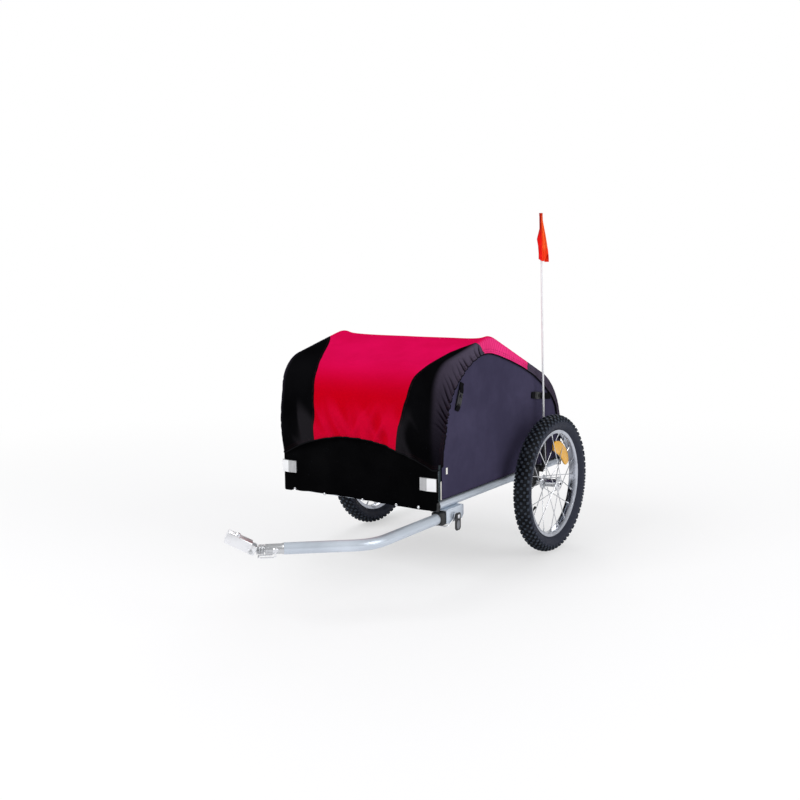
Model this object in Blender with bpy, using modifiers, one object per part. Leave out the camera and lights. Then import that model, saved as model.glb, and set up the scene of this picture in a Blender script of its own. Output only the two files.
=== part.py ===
"""Two-wheeled cargo trailer for a bicycle, with tow arm, fabric box, cover and flag.

Metres, +Z up, travel towards -Y. Inside the empty "trailer" the wheels turn on the line Y = 0.
"""

import math

import bmesh
import bpy
from mathutils import Matrix, Vector

# Clearances
FIT = 0.0003  # between faces that touch
MERGE = 0.00001  # welding distance of a mesh
CLOTH_GAP = 0.0010  # between cloth and what it covers
PLAY = 0.0015  # beside a part that turns

# Wheels
WHEEL_R = 0.202
TRACK = 0.640
KNOB = 0.0035
KNOB_TAPER = 0.0016
TYRE_W = 0.049
TYRE_WALL = 0.0028
TYRE_STEPS = 36
TREAD_CURVE = ((0.0, 0.22), (0.05, 0.63), (0.22, 0.88))  # drop and half width, as shares
TREAD_BLANK = 0.085  # share of the section past which no knob stands
RIM_R = 0.1575
RIM_W = 0.027
RIM_DEPTH = 0.012
RIM_WALL = 0.0025
RIM_HOOK = 0.005  # height of its steep sides' foot over its floor
RIM_LEAN = 0.0005
RIM_STEPS = 32
TUBE_SHARE = 0.38  # inner tube's radius, of the room between rim and tread
TUBE_MIDDLE = 0.463  # and its middle line
SPOKES = 20
SPOKE_R = 0.0010
NIPPLE_R = 0.0017
NIPPLE_LENGTH = 0.012
CROSSINGS = 2
FLANGE_R = 0.021
FLANGE_T = 0.003
FLANGE_IN = 0.026  # flange planes, from the wheel's middle plane
FLANGE_OUT = 0.024
HUB_R = 0.012
HUB_END_R = 0.010
HUB_IN = 0.0465  # hub ends, from the wheel's middle plane
HUB_OUT = 0.0265
SPOKE_LEAD = 0.0028
VALVE_R = 0.0032
VALVE_REACH = 0.0445  # valve's end, inwards from the rim's edge
VALVE_ANGLE = -62.8
REFLECTOR_ANGLE = 158.3
REFLECTOR_SPAN = 27.0
REFLECTOR_IN = 0.51  # its radii, of the rim's radius
REFLECTOR_OUT = 0.72
REFLECTOR_T = 0.006

# Axles
AXLE_R = 0.006
AXLE_GRIP = 0.072  # length of axle inside its receiver and tube
AXLE_HEAD_R = 0.0095
AXLE_HEAD_T = 0.003
AXLE_GROOVE = 0.003  # width of the groove for its balls
GROOVE_DEPTH = 0.0008
AXLE_TIP = 0.001
BUTTON_R = 0.003
BUTTON_OUT = 0.0022
BUTTON_STROKE = 0.002
BUTTON_LENGTH = 0.020
BUTTON_EDGE = 0.0008

# Frame
RAIL_GAP = 0.076  # rail's axis to the wheel's middle plane
RAIL_X = TRACK / 2 - RAIL_GAP
RAIL_Z = 0.228
RAIL_R = 0.011
TUBE_WALL = 0.0015
HOOP_R = 0.007
HOOP_STUD = 0.0045
STUD_LENGTH = 0.014
FRONT_Y = -0.512
REAR_Y = 0.1895
SHOULDER_FRONT = 0.578
SHOULDER_REAR = 0.459
APEX_Y = -0.2455
APEX_Z = 0.642
BEND_FRONT = 0.0875
BEND_APEX = 0.050
BEND_REAR = 0.200
BAR_R = 0.006
BAR_DROP = 0.0055
SPIGOT = 0.014
CORNER_OUT = 0.0127  # how far a corner moulding reaches past the hoop's axis
CORNER_BACK = 0.0015
CORNER_SIDE = 0.0120
RECEIVER_HALF = 0.022
RECEIVER_IN = 0.022  # its inner face to the rail's axis
RECEIVER_INNER = RAIL_X - RECEIVER_IN
RECEIVER_WALL = 0.0035
RECEIVER_DROP = 0.016
FLOOR_T = 0.003

# Cloth
PANEL_T = 0.0015
COVER_T = 0.002
PANEL_INSET = 0.0005  # side panel's edge, inside the hoop's axis
PANEL_LAP = 0.0085  # its front edge, past the hoop's axis
FRONT_PANEL_LOW = 0.219
FRONT_PANEL_WAVE = ((1, 0.0), (0.6, 0.001), (0.2, 0.005), (-0.2, 0.007), (-0.6, 0.005), (-1, 0.003))
PANEL_TUCK = 0.010  # how far under the cover's hem a panel narrows, and from where
PANEL_TUCK_FOOT = 0.030
FRONT_PANEL_TOP = 0.495
REAR_PANEL_TOP = 0.328
HEM_FRONT = 0.325
HEM_REAR = 0.300
HEM_ARCH = 0.065
COVER_EDGE = 0.012
COVER_SAG = 0.006
COVER_BULGE = 0.010
HEM_BAND = (
    (0.0, 0.030), (0.15, 0.055), (0.38, 0.055), (0.5, 0.046), (0.65, 0.037), (0.82, 0.047), (1.0, 0.024)
)
BUCKLE_W = 0.022
BUCKLE_L = 0.030
BUCKLE_T = 0.0065
STRAP_T = 0.0014
STRAP_W = 0.018
STRAP_LENGTH = 0.050
BUCKLE_LIP = 0.001
BUCKLE_RAMP = 0.006
BUCKLE_NOSE = 0.003
BUCKLES = {"front": (-0.417, 0.497), "rear": (0.055, 0.444)}

# Reflectors on the box
LAMP_IN = 0.013
LAMP_X = RAIL_X - LAMP_IN
LAMP_W = 0.052
LAMP_H = 0.035
LAMP_Z = 0.270
REAR_LAMP_Z = 0.254
LAMP_T = 0.009
LAMP_EDGE_T = 0.004
LAMP_SOFT = 0.001  # bevel of its edges

# Tow arm and its bracket
ARM_OUT = 0.0025
ARM_X = RAIL_X + ARM_OUT
ARM_Z = 0.195
ARM_R = 0.014
ARM_WALL = 0.0015
CORE_PAST = 0.010  # how far the cutter of its bore runs past its ends
ARM_REAR = -0.420
ARM_CORNER = -0.794
ARM_BEND = 0.100
ARM_REACH = 0.2096
ARM_TURN = 49.5
BRACKET_W = 0.040
BRACKET_T = 0.003
BRACKET_FRONT = -0.497
BRACKET_REAR = -0.412
BRACKET_LOW = 0.181
BRACKET_TRIM = 0.012  # its rear lower corner, cut off at a slant
TRIM_ANGLE = -40.0
COLLAR_SOFT = 0.002
COLLAR_FRONT = -0.516
COLLAR_REAR = -0.482
PIN_R = 0.004
PIN_Y = -0.457
PIN_TAIL = 0.006
PIN_HEAD_R = 0.0075
PIN_HEAD_T = 0.0025
PIN_BOSS_R = 0.0045
PIN_CAP = 0.8  # cap's radius, of the head's
PIN_TIP = 0.002  # length of a pin's tapered end
WIRE_R = 0.0013
NECK = 0.0050
RING_REACH = 0.046
RING_ANGLE = 207.0
TAB_W = 0.026
TAB_DROP = 0.038
TAB_TOP = 0.009
TAB_T = 0.003
TAB_BENDS = (0.008, 0.009)  # of its upper and lower corners
DISH_DEPTH = 0.0009
DISH_EDGE = 0.005
DISH_FOOT = 0.006
DISH_HEAD = 0.004

# Hitch, along the arm's end
PLUG_R = 0.0105
PLUG_SEAT = 0.030
PLUG_LENGTH = 0.044
HITCH_PIN_AT = 0.020
HITCH_PIN_R = 0.003
HITCH_PIN_TAPER = 0.0015
BAIL_LENGTH = 0.040
BAIL_DROP = 0.0165
SPRING_R = 0.0092
SPRING_WIRE = 0.0014
SPRING_TURNS = 4
COIL_STEPS = 9
SPRING_LENGTH = 0.018
SPRING_CORE_R = 0.0070
CORE_LENGTH = 0.004
KNUCKLE_FLANGE = 0.0025
KNUCKLE_NECK = 0.0125
KNUCKLE_NECK_R = 0.006
BARREL_R = 0.007
PIVOT_R = 0.003
PIVOT_HEAD_R = 0.0052
PIVOT_HEAD_T = 0.002
CLAMP_PITCH = 28.0
CLAMP_W = 0.034
CLAMP_T = 0.003
CLAMP_FRONT = 0.066
CLAMP_REAR = 0.010
CLAMP_LOW = 0.007
CLAMP_TOP = 0.019
CLAMP_NOTCH = 0.004
BOLT_AT = 0.042
BOLT_R = 0.003
BOLT_HEAD_R = 0.0058
BOLT_HEAD_T = 0.0045
BOLT_LENGTH = 0.020

# Flag
POLE_R = 0.003
POLE_OUT = 0.036
POLE_X = RAIL_X + POLE_OUT
POLE_Y = 0.034
POLE_LEAN = 2.57
SOCKET_FOOT = 0.2435
SOCKET_TOP = 0.385
SOCKET_WALL = 0.0045
CLIP_HALF = 0.010
POLE_TOP = 0.978
FLAG_OVER = 0.007  # flag's tip past the pole's
FLAG_LENGTH = 0.139
FLAG_TOP = POLE_TOP + FLAG_OVER
FLAG_LOW = FLAG_TOP - FLAG_LENGTH
FLAG_R = 0.011
FLAG_ROWS = 8
FLAG_CLOTH = 0.0018  # cloth wound on the pole

for old in list(bpy.data.objects):
    bpy.data.objects.remove(old, do_unlink=True)

parts = bpy.data.collections.new("bike_cargo_trailer")
cutters = bpy.data.collections.new("cutters")
for group in (parts, cutters):
    bpy.context.scene.collection.children.link(group)


def empty(name, parent=None, place=(0, 0, 0), turn=(0, 0, 0)):
    """Empty that carries the pieces of one group."""
    holder = bpy.data.objects.new(name, None)
    parts.objects.link(holder)
    holder.parent = parent
    holder.location = place
    holder.rotation_euler = [math.radians(a) for a in turn]
    return holder


trailer = empty("trailer")


def finish(name, colour, roughness, metallic):
    """Material of one piece."""
    made = bpy.data.materials.new(name)
    made.use_nodes = True
    shader = made.node_tree.nodes["Principled BSDF"]
    shader.inputs["Base Color"].default_value = (*colour, 1.0)
    shader.inputs["Roughness"].default_value = roughness
    shader.inputs["Metallic"].default_value = metallic
    return made


FINISHES = {
    "silver_tube": ((0.62, 0.64, 0.67), 0.32, 0.9),
    "bright_steel": ((0.72, 0.73, 0.75), 0.25, 1.0),
    "black_plastic": ((0.015, 0.016, 0.018), 0.5, 0.0),
    "black_cloth": ((0.010, 0.010, 0.012), 0.85, 0.0),
    "slate_cloth": ((0.055, 0.052, 0.085), 0.85, 0.0),
    "red_cloth": ((0.60, 0.008, 0.030), 0.8, 0.0),
    "tyre": ((0.020, 0.021, 0.024), 0.75, 0.0),
    "alloy": ((0.66, 0.68, 0.70), 0.35, 0.9),
    "amber": ((0.85, 0.42, 0.06), 0.25, 0.0),
    "white_lens": ((0.80, 0.80, 0.82), 0.25, 0.0),
    "red_lens": ((0.60, 0.02, 0.02), 0.25, 0.0),
    "white_pole": ((0.80, 0.80, 0.78), 0.4, 0.0),
    "orange_cloth": ((0.85, 0.07, 0.02), 0.7, 0.0),
    "floor_cloth": ((0.020, 0.020, 0.024), 0.8, 0.0),
}


def put(obj, look=None, parent=trailer):
    """Adds a piece to the trailer with a material of its own."""
    (cutters if look is None else parts).objects.link(obj)
    obj.parent = parent
    if look is None:
        obj.hide_render = True
        obj.display_type = "WIRE"
    else:
        obj.data.materials.append(finish(obj.name, *FINISHES[look]))
    return obj


def aim(obj, start, end):
    """Places a piece made along local Z so that it runs from start towards end."""
    obj.location = start
    obj.rotation_euler = (Vector(end) - Vector(start)).to_track_quat("Z", "Y").to_euler()
    return obj


def turned(name, profile, steps):
    """Shape turned round local Z from (radius, height) points, the outer side from top to bottom."""
    mesh = bpy.data.meshes.new(name)
    count = len(profile)
    closed = profile[0][0] > 0
    edges = [(i, (i + 1) % count) for i in range(count if closed else count - 1)]
    mesh.from_pydata([(r, 0, h) for r, h in profile], edges, [])
    obj = bpy.data.objects.new(name, mesh)
    screw = obj.modifiers.new("Turn", "SCREW")
    screw.steps = screw.render_steps = steps
    screw.use_merge_vertices = True
    screw.merge_threshold = MERGE
    screw.use_smooth_shade = True
    return obj


def rod(name, start, end, radius, steps=16):
    """Round bar between two points."""
    length = (Vector(end) - Vector(start)).length
    return aim(turned(name, [(0, length), (radius, length), (radius, 0), (0, 0)], steps), start, end)


def pipe(name, start, end, radius, wall, steps=16):
    """Round tube, open at both ends, between two points."""
    length = (Vector(end) - Vector(start)).length
    inner = radius - wall
    ring = [(radius, length), (radius, 0), (inner, 0), (inner, length)]
    return aim(turned(name, ring, steps), start, end)


def block(name, low, high, bevel=0.0, segments=2):
    """Box between two corners, with rounded edges if a bevel is given."""
    low, high = Vector(low), Vector(high)
    mesh = bpy.data.meshes.new(name)
    cube = bmesh.new()
    bmesh.ops.create_cube(cube, size=1.0, matrix=Matrix.Diagonal((*(high - low), 1.0)))
    cube.to_mesh(mesh)
    cube.free()
    obj = bpy.data.objects.new(name, mesh)
    obj.location = (low + high) / 2
    if bevel:
        rounding = obj.modifiers.new("Bevel", "BEVEL")
        rounding.width = bevel
        rounding.segments = segments
    return obj


def wire(name, runs, radius, ring=2):
    """Round tubes along runs of points; a fourth number on a point widens the tube there."""
    data = bpy.data.curves.new(name, "CURVE")
    data.dimensions = "3D"
    data.bevel_depth = radius
    data.bevel_resolution = ring
    data.use_fill_caps = True
    for run in runs:
        spline = data.splines.new("POLY")
        spline.points.add(len(run) - 1)
        for point, place in zip(spline.points, run):
            point.co = (*place[:3], 1.0)
            point.radius = place[3] if len(place) > 3 else 1.0
    return bpy.data.objects.new(name, data)


PLANES = {"XY": (0, 0, 0), "XZ": (90, 0, 0), "YZ": (90, 0, 90)}


def plate(name, outline, thickness, plane, middle):
    """Flat piece of an outline drawn in one plane; middle is where that plane lies."""
    data = bpy.data.curves.new(name, "CURVE")
    data.dimensions = "2D"
    data.fill_mode = "BOTH"
    data.extrude = thickness / 2
    spline = data.splines.new("POLY")
    spline.points.add(len(outline) - 1)
    for point, place in zip(spline.points, outline):
        point.co = (*place, 0.0, 1.0)
    spline.use_cyclic_u = True
    obj = bpy.data.objects.new(name, data)
    obj.rotation_euler = [math.radians(a) for a in PLANES[plane]]
    obj.location = {"XY": (0, 0, middle), "XZ": (0, middle, 0), "YZ": (middle, 0, 0)}[plane]
    return obj


def solid(obj):
    """The same piece as one welded mesh, so that it can be cut or joined."""
    bpy.context.scene.collection.objects.link(obj)
    bpy.context.view_layer.update()
    mesh = bpy.data.meshes.new_from_object(obj.evaluated_get(bpy.context.evaluated_depsgraph_get()))
    shape = bmesh.new()
    shape.from_mesh(mesh)
    bmesh.ops.remove_doubles(shape, verts=shape.verts, dist=MERGE)
    bmesh.ops.recalc_face_normals(shape, faces=shape.faces)
    shape.to_mesh(mesh)
    shape.free()
    name, place = obj.name, obj.matrix_world.copy()
    bpy.data.objects.remove(obj, do_unlink=True)
    made = bpy.data.objects.new(name, mesh)
    made.matrix_world = place
    return made


def shape_with(obj, other, operation="DIFFERENCE"):
    """Cuts one piece with another, or joins the two."""
    change = obj.modifiers.new(other.name, "BOOLEAN")
    change.operation = operation
    change.solver = "EXACT"
    change.object = other
    return obj


def rounded(points, radii, steps):
    """The path through the points, with an arc of the given radius at each inner corner."""
    points = [Vector(p) for p in points]
    path = [points[0]]
    for before, corner, after, radius in zip(points, points[1:], points[2:], radii):
        back, on = (before - corner).normalized(), (after - corner).normalized()
        half = back.angle(on) / 2
        centre = corner + (back + on).normalized() * radius / math.sin(half)
        start = corner + back * radius / math.tan(half) - centre
        end = corner + on * radius / math.tan(half) - centre
        sweep = math.pi - 2 * half
        for k in range(steps + 1):
            a, b = math.sin((1 - k / steps) * sweep), math.sin(k / steps * sweep)
            path.append(centre + (start * a + end * b) / math.sin(sweep))
    return path + [points[-1]]


def offset(points, distances):
    """The open path of straight runs, each moved to its left by its own distance."""
    points = [Vector(p) for p in points]
    runs = []
    for start, end, distance in zip(points, points[1:], distances):
        along = (end - start).normalized()
        across = Vector((-along.y, along.x))
        runs.append((start + across * distance, along, end + across * distance))
    path = [runs[0][0]]
    for (p, u, _), (q, v, _) in zip(runs, runs[1:]):
        path.append(p + u * ((q - p).cross(v) / u.cross(v)))
    return path + [runs[-1][2]]


# Frame: side rails, cross tubes, corner mouldings, hoops and their bars

RAIL_TOP = RAIL_Z + RAIL_R
CORNER_TOP = RAIL_TOP + RECEIVER_WALL
RAIL_FRONT = FRONT_Y + CORNER_BACK + FIT
RAIL_REAR = REAR_Y - CORNER_BACK - FIT
CROSS_END = RAIL_X - RAIL_R - FIT - PLAY
HOOP_FOOT = CORNER_TOP + FIT
SIDES = {"left": 1, "right": -1}
ENDS = {"front": (FRONT_Y, -1), "rear": (REAR_Y, 1)}

for side, s in SIDES.items():
    rail = pipe(
        f"{side}_side_rail", (s * RAIL_X, RAIL_FRONT, RAIL_Z), (s * RAIL_X, RAIL_REAR, RAIL_Z), RAIL_R,
        TUBE_WALL, 20,
    )
    put(rail, "silver_tube")

for end, (y, e) in ENDS.items():
    put(
        pipe(f"{end}_cross_tube", (-CROSS_END, y, RAIL_Z), (CROSS_END, y, RAIL_Z), RAIL_R, TUBE_WALL),
        "silver_tube",
    )

spigot_r = RAIL_R - TUBE_WALL - FIT
for end, (y, e) in ENDS.items():
    for side, s in SIDES.items():
        name = f"{end}_{side}_corner"
        across = sorted((s * (CROSS_END + FIT), s * (RAIL_X + CORNER_SIDE)))
        along = sorted((y - e * CORNER_BACK, y + e * CORNER_OUT))
        low = RAIL_Z - RAIL_R - PLAY
        corner = block(name, (across[0], along[0], low), (across[1], along[1], CORNER_TOP), 0.002, 1)
        face = y + e * CORNER_OUT / 2
        rail_end = y - e * CORNER_BACK
        spigots = (
            rod(
                f"{name}_rail_spigot", (s * RAIL_X, face, RAIL_Z),
                (s * RAIL_X, rail_end - e * SPIGOT, RAIL_Z), spigot_r, 12,
            ),
            rod(
                f"{name}_cross_spigot", (s * RAIL_X, y, RAIL_Z), (s * (CROSS_END - SPIGOT), y, RAIL_Z),
                spigot_r, 12,
            ),
            rod(
                f"{name}_stud", (s * RAIL_X, y, CORNER_TOP - STUD_LENGTH / 3),
                (s * RAIL_X, y, HOOP_FOOT + STUD_LENGTH), HOOP_STUD, 12,
            ),
        )
        rail_cut = rod(
            f"{name}_rail_bore", (s * RAIL_X, rail_end, RAIL_Z),
            (s * RAIL_X, rail_end - e * 2 * SPIGOT, RAIL_Z), RAIL_R + FIT, 20,
        )
        put(corner, "black_plastic")
        shape_with(corner, put(spigots[1]), "UNION")
        shape_with(corner, put(spigots[2]), "UNION")
        shape_with(corner, put(rail_cut))
        shape_with(corner, put(spigots[0]), "UNION")

HOOP_RUNS = (
    (FRONT_Y, HOOP_FOOT),
    (FRONT_Y, SHOULDER_FRONT),
    (APEX_Y, APEX_Z),
    (REAR_Y, SHOULDER_REAR),
    (REAR_Y, HOOP_FOOT),
)
HOOP_BENDS = (BEND_FRONT, BEND_APEX, BEND_REAR)
hoop_path = rounded(HOOP_RUNS, HOOP_BENDS, 6)
for side, s in SIDES.items():
    hoop = solid(wire(f"{side}_hoop", [[(s * RAIL_X, p.x, p.y) for p in hoop_path]], HOOP_R, 3))
    put(hoop, "silver_tube")
    for end, (y, e) in ENDS.items():
        low, high = HOOP_FOOT - STUD_LENGTH, HOOP_FOOT + STUD_LENGTH + FIT
        drill = rod(
            f"{side}_{end}_hoop_drill", (s * RAIL_X, y, low), (s * RAIL_X, y, high), HOOP_STUD + FIT, 12
        )
        shape_with(hoop, put(drill))

# Each bar lies under a bend of the hoops, whose middle is on the line from its corner to its centre
front_bend = hoop_path[1 + 3]
apex_bend = hoop_path[1 + 7 + 3]
bar_end = RAIL_X - HOOP_R - FIT
put(rod("front_bar", (-bar_end, *front_bend), (bar_end, *front_bend), BAR_R, 12), "silver_tube")
ridge = (apex_bend.x, apex_bend.y - BAR_DROP)
put(rod("ridge_bar", (-bar_end, *ridge), (bar_end, *ridge), BAR_R, 12), "silver_tube")

# Axle receivers clipped round the rails, and the tube between them

RECEIVER_OUT = TRACK / 2 - HUB_IN - PLAY
for side, s in SIDES.items():
    name = f"{side}_axle_receiver"
    x = sorted((s * RECEIVER_INNER, s * RECEIVER_OUT))
    receiver = block(
        name, (x[0], -RECEIVER_HALF, WHEEL_R - RECEIVER_DROP), (x[1], RECEIVER_HALF, CORNER_TOP), 0.003, 1
    )
    put(receiver, "black_plastic")
    spigot = rod(
        f"{name}_spigot", (s * (RECEIVER_INNER + PLAY), 0, WHEEL_R),
        (s * (RECEIVER_INNER - SPIGOT), 0, WHEEL_R), spigot_r, 12,
    )
    shape_with(receiver, put(spigot), "UNION")
    clip = rod(
        f"{name}_rail_bore", (s * RAIL_X, -2 * RECEIVER_HALF, RAIL_Z),
        (s * RAIL_X, 2 * RECEIVER_HALF, RAIL_Z), RAIL_R + FIT, 20,
    )
    bore = rod(
        f"{name}_axle_bore", (s * (RECEIVER_INNER - 2 * SPIGOT), 0, WHEEL_R),
        (s * (RECEIVER_OUT + SPIGOT), 0, WHEEL_R), AXLE_R + FIT,
    )
    shape_with(receiver, put(clip))
    shape_with(receiver, put(bore))
cross = RECEIVER_INNER - FIT
put(pipe("axle_cross_tube", (-cross, 0, WHEEL_R), (cross, 0, WHEEL_R), RAIL_R, TUBE_WALL), "silver_tube")

# Wheels: turned casing with knobs, rim, inner tube, hub with laced spokes, quick-release axle


def tyre_shape(name):
    """Casing open towards the rim, its tread faces raised into three rows of knobs."""
    tread = WHEEL_R - KNOB
    bead, half, wall = RIM_W / 2 - RIM_WALL - FIT, TYRE_W / 2, TYRE_WALL
    section = tread - RIM_R
    belly = RIM_R + section / 2
    right = [(tread - section * drop, half * share) for drop, share in TREAD_CURVE]
    right += [(belly, half), (RIM_R + FIT, bead)]
    inner = [(RIM_R + FIT, bead - wall), (belly, half - wall), (tread - wall, right[0][1])]
    outer = [(r, h) for r, h in reversed(right)] + [(r, -h) for r, h in right]
    lining = [(r, -h) for r, h in inner] + [(r, h) for r, h in reversed(inner)]
    casing = solid(turned(name, outer + lining, TYRE_STEPS))
    shape = bmesh.new()
    shape.from_mesh(casing.data)
    rows = ([], [])
    for face in shape.faces:
        centre = face.calc_center_median()
        radius = math.hypot(centre.x, centre.y)
        if radius < tread - section * TREAD_BLANK or abs(centre.z) > right[1][1]:
            continue
        step = round((math.atan2(centre.y, centre.x) / math.tau) * TYRE_STEPS - 0.5)
        rows[abs(centre.z) > right[0][1] / 2].append((step, face))
    picked = [face for step, face in rows[0] if step % 2 == 0] + [face for step, face in rows[1] if step % 2]
    bmesh.ops.inset_individual(shape, faces=picked, thickness=KNOB_TAPER, depth=KNOB)
    shape.to_mesh(casing.data)
    shape.free()
    return casing


def rim_shape(name):
    """Channel that holds the tyre's beads."""
    half, floor = RIM_W / 2, RIM_R - RIM_DEPTH
    right = [(RIM_R, half), (floor + RIM_HOOK, half - RIM_LEAN), (floor, half / 2)]
    inner = [(RIM_R, half - RIM_WALL), (floor + RIM_WALL, half / 2)]
    outer = [(r, h) for r, h in right] + [(r, -h) for r, h in reversed(right)]
    lining = [(r, -h) for r, h in inner] + [(r, h) for r, h in reversed(inner)]
    return turned(name, outer + lining, RIM_STEPS)


def hub_shape(name):
    """Barrel with two flanges and a bore for the axle."""
    bore, t = AXLE_R + FIT, FLANGE_T / 2
    top, bottom = HUB_OUT, -HUB_IN
    outer = [(HUB_END_R, top)]
    for plane in (FLANGE_OUT - t, -FLANGE_IN + t):
        outer += [(HUB_END_R if plane > 0 else HUB_R, plane + t), (FLANGE_R, plane + t),
                  (FLANGE_R, plane - t), (HUB_R if plane > 0 else HUB_END_R, plane - t)]
    return turned(name, outer + [(HUB_END_R, bottom), (bore, bottom), (bore, top)], 16)


def spoke_runs():
    """Spokes laced in pairs that cross, each from its flange hole to its place in the rim."""
    flange_hole = FLANGE_R - 0.0035
    end_r = (RIM_R - RIM_DEPTH) * math.cos(math.pi / RIM_STEPS) - 3 * FIT
    spacing = math.tau / (SPOKES / 2)
    t = FLANGE_T / 2
    runs = []
    for k in range(SPOKES):
        outer = k % 2 == 0
        pair = k // 2
        lead = 1 if pair % 2 else -1
        hole = spacing * (pair + (0 if outer else 0.5))
        plane = FLANGE_OUT - t if outer else -FLANGE_IN + t
        w = plane + lead * SPOKE_LEAD
        rim_angle = hole + lead * spacing * CROSSINGS
        start = Vector((flange_hole * math.cos(hole), flange_hole * math.sin(hole), plane))
        elbow = Vector((start.x, start.y, w))
        end = Vector((end_r * math.cos(rim_angle), end_r * math.sin(rim_angle), 0.0))
        nipple = end + (elbow - end).normalized() * NIPPLE_LENGTH
        wide = NIPPLE_R / SPOKE_R
        collar = nipple + (end - nipple).normalized() * SPOKE_R
        runs.append([(*start,), (*elbow,), (*nipple,), (*collar, wide), (*end, wide)])
    return runs


def tube_shape(name):
    """Inner tube with its valve stem."""
    room = WHEEL_R - KNOB - TYRE_WALL - RIM_R
    bpy.ops.mesh.primitive_torus_add(
        major_segments=28, minor_segments=6,
        major_radius=RIM_R + room * TUBE_MIDDLE, minor_radius=room * TUBE_SHARE,
    )
    tube = bpy.context.object
    tube.name = name
    for group in list(tube.users_collection):
        group.objects.unlink(tube)
    return tube


def polar(radius, degrees, height=0.0):
    return (radius * math.cos(math.radians(degrees)), radius * math.sin(math.radians(degrees)), height)


def arc_outline(inner, outer, span, steps=6):
    """Band between two radii, round the angle zero."""
    angles = [span * (k / steps - 0.5) for k in range(steps + 1)]
    return [polar(outer, a)[:2] for a in angles] + [polar(inner, a)[:2] for a in reversed(angles)]


for side, s in SIDES.items():
    wheel = empty(f"{side}_wheel", trailer, (s * TRACK / 2, 0, WHEEL_R), (0, s * 90, 0))
    put(tyre_shape(f"{side}_tyre"), "tyre", wheel)
    rim = put(rim_shape(f"{side}_rim"), "alloy", wheel)
    shape_with(
        rim,
        put(
            rod(
                f"{side}_valve_hole", polar(RIM_R, VALVE_ANGLE), polar(RIM_R - VALVE_REACH, VALVE_ANGLE),
                VALVE_R + FIT, 12,
            ),
            parent=wheel,
        ),
    )
    tube = put(tube_shape(f"{side}_inner_tube"), "black_plastic", wheel)
    stem = rod(
        f"{side}_valve", polar(RIM_R + RIM_DEPTH, VALVE_ANGLE), polar(RIM_R - VALVE_REACH, VALVE_ANGLE),
        VALVE_R, 10,
    )
    shape_with(tube, put(stem, parent=wheel), "UNION")
    hub = put(hub_shape(f"{side}_hub"), "bright_steel", wheel)
    spokes = put(solid(wire(f"{side}_spokes", spoke_runs(), SPOKE_R, 0)), parent=wheel)
    shape_with(hub, spokes, "UNION")
    band = plate(
        f"{side}_spoke_reflector",
        arc_outline(REFLECTOR_IN * RIM_R, REFLECTOR_OUT * RIM_R, REFLECTOR_SPAN * 2), REFLECTOR_T, "XY", 0,
    )
    band.rotation_euler.z = math.radians(REFLECTOR_ANGLE)
    put(band, "amber", wheel)
    inside = -(TRACK / 2 - RECEIVER_OUT) - AXLE_GRIP
    under = HUB_OUT + FIT
    head = under + AXLE_HEAD_T
    groove_in, groove_out = inside + 2 * AXLE_GROOVE, inside + 3 * AXLE_GROOVE
    pin = [(0, head), (AXLE_HEAD_R, head), (AXLE_HEAD_R, under), (AXLE_R, under), (AXLE_R, groove_out)]
    pin += [(AXLE_R - GROOVE_DEPTH, groove_out), (AXLE_R - GROOVE_DEPTH, groove_in), (AXLE_R, groove_in)]
    pin += [(AXLE_R, inside + AXLE_TIP), (AXLE_R - AXLE_TIP, inside), (0, inside)]
    axle = put(turned(f"{side}_axle", pin, 12), "bright_steel", wheel)
    bottom = head + BUTTON_OUT - BUTTON_LENGTH
    bore = rod(
        f"{side}_button_bore", (0, 0, bottom - BUTTON_STROKE - FIT), (0, 0, head + BUTTON_OUT),
        BUTTON_R + FIT, 12,
    )
    shape_with(axle, put(bore, parent=wheel))
    crown = head + BUTTON_OUT
    cap = [
        (0, crown), (BUTTON_R * 0.7, crown), (BUTTON_R, crown - BUTTON_EDGE), (BUTTON_R, bottom),
        (0, bottom),
    ]
    put(turned(f"{side}_axle_button", cap, 12), "black_plastic", wheel)

# Cloth box: floor, side panels, front and rear panels, buckles and reflectors

panel_in = RAIL_X + HOOP_R + FIT
panel_out = panel_in + PANEL_T
floor_half = RAIL_X - HOOP_R - 2 * FIT
floor_low = CORNER_TOP + FIT
front_face = FRONT_Y - CORNER_OUT - CLOTH_GAP / 2
rear_face = REAR_Y + HOOP_R + CLOTH_GAP / 2
floor = block(
    "floor_panel", (-floor_half, front_face + FIT, floor_low),
    (floor_half, rear_face - FIT, floor_low + FLOOR_T),
)
put(floor, "floor_cloth")

side_runs = offset(HOOP_RUNS, (PANEL_LAP, -PANEL_INSET, -PANEL_INSET, -PANEL_INSET))
side_outline = rounded(side_runs, [b - PANEL_INSET for b in HOOP_BENDS], 6)
side_outline[0].y = side_outline[-1].y = CORNER_TOP + FIT * 3
for side, s in SIDES.items():
    put(
        plate(
            f"{side}_side_panel", [(p.x, p.y) for p in side_outline], PANEL_T, "YZ",
            s * (panel_in + PANEL_T / 2),
        ),
        "slate_cloth",
    )

wide = panel_in - CLOTH_GAP
tucked = wide - COVER_EDGE


def end_outline(top, hem, foot):
    """End panel: narrow under the cover's hem and full width below it, with the given foot line."""
    right = [(tucked, top), (tucked, hem - PANEL_TUCK), (wide, hem - PANEL_TUCK_FOOT)]
    return right + foot + [(-x, z) for x, z in reversed(right)]


foot_line = [(wide * share, FRONT_PANEL_LOW + rise) for share, rise in FRONT_PANEL_WAVE]
front_outline = end_outline(FRONT_PANEL_TOP, HEM_FRONT, foot_line)
put(plate("front_panel", front_outline, PANEL_T, "XZ", front_face - PANEL_T / 2), "black_cloth")
rear_low = CORNER_TOP + FIT * 3
rear_outline = end_outline(REAR_PANEL_TOP, HEM_REAR, [(wide, rear_low), (-wide, rear_low)])
put(plate("rear_panel", rear_outline, PANEL_T, "XZ", rear_face + PANEL_T / 2), "black_cloth")

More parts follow.
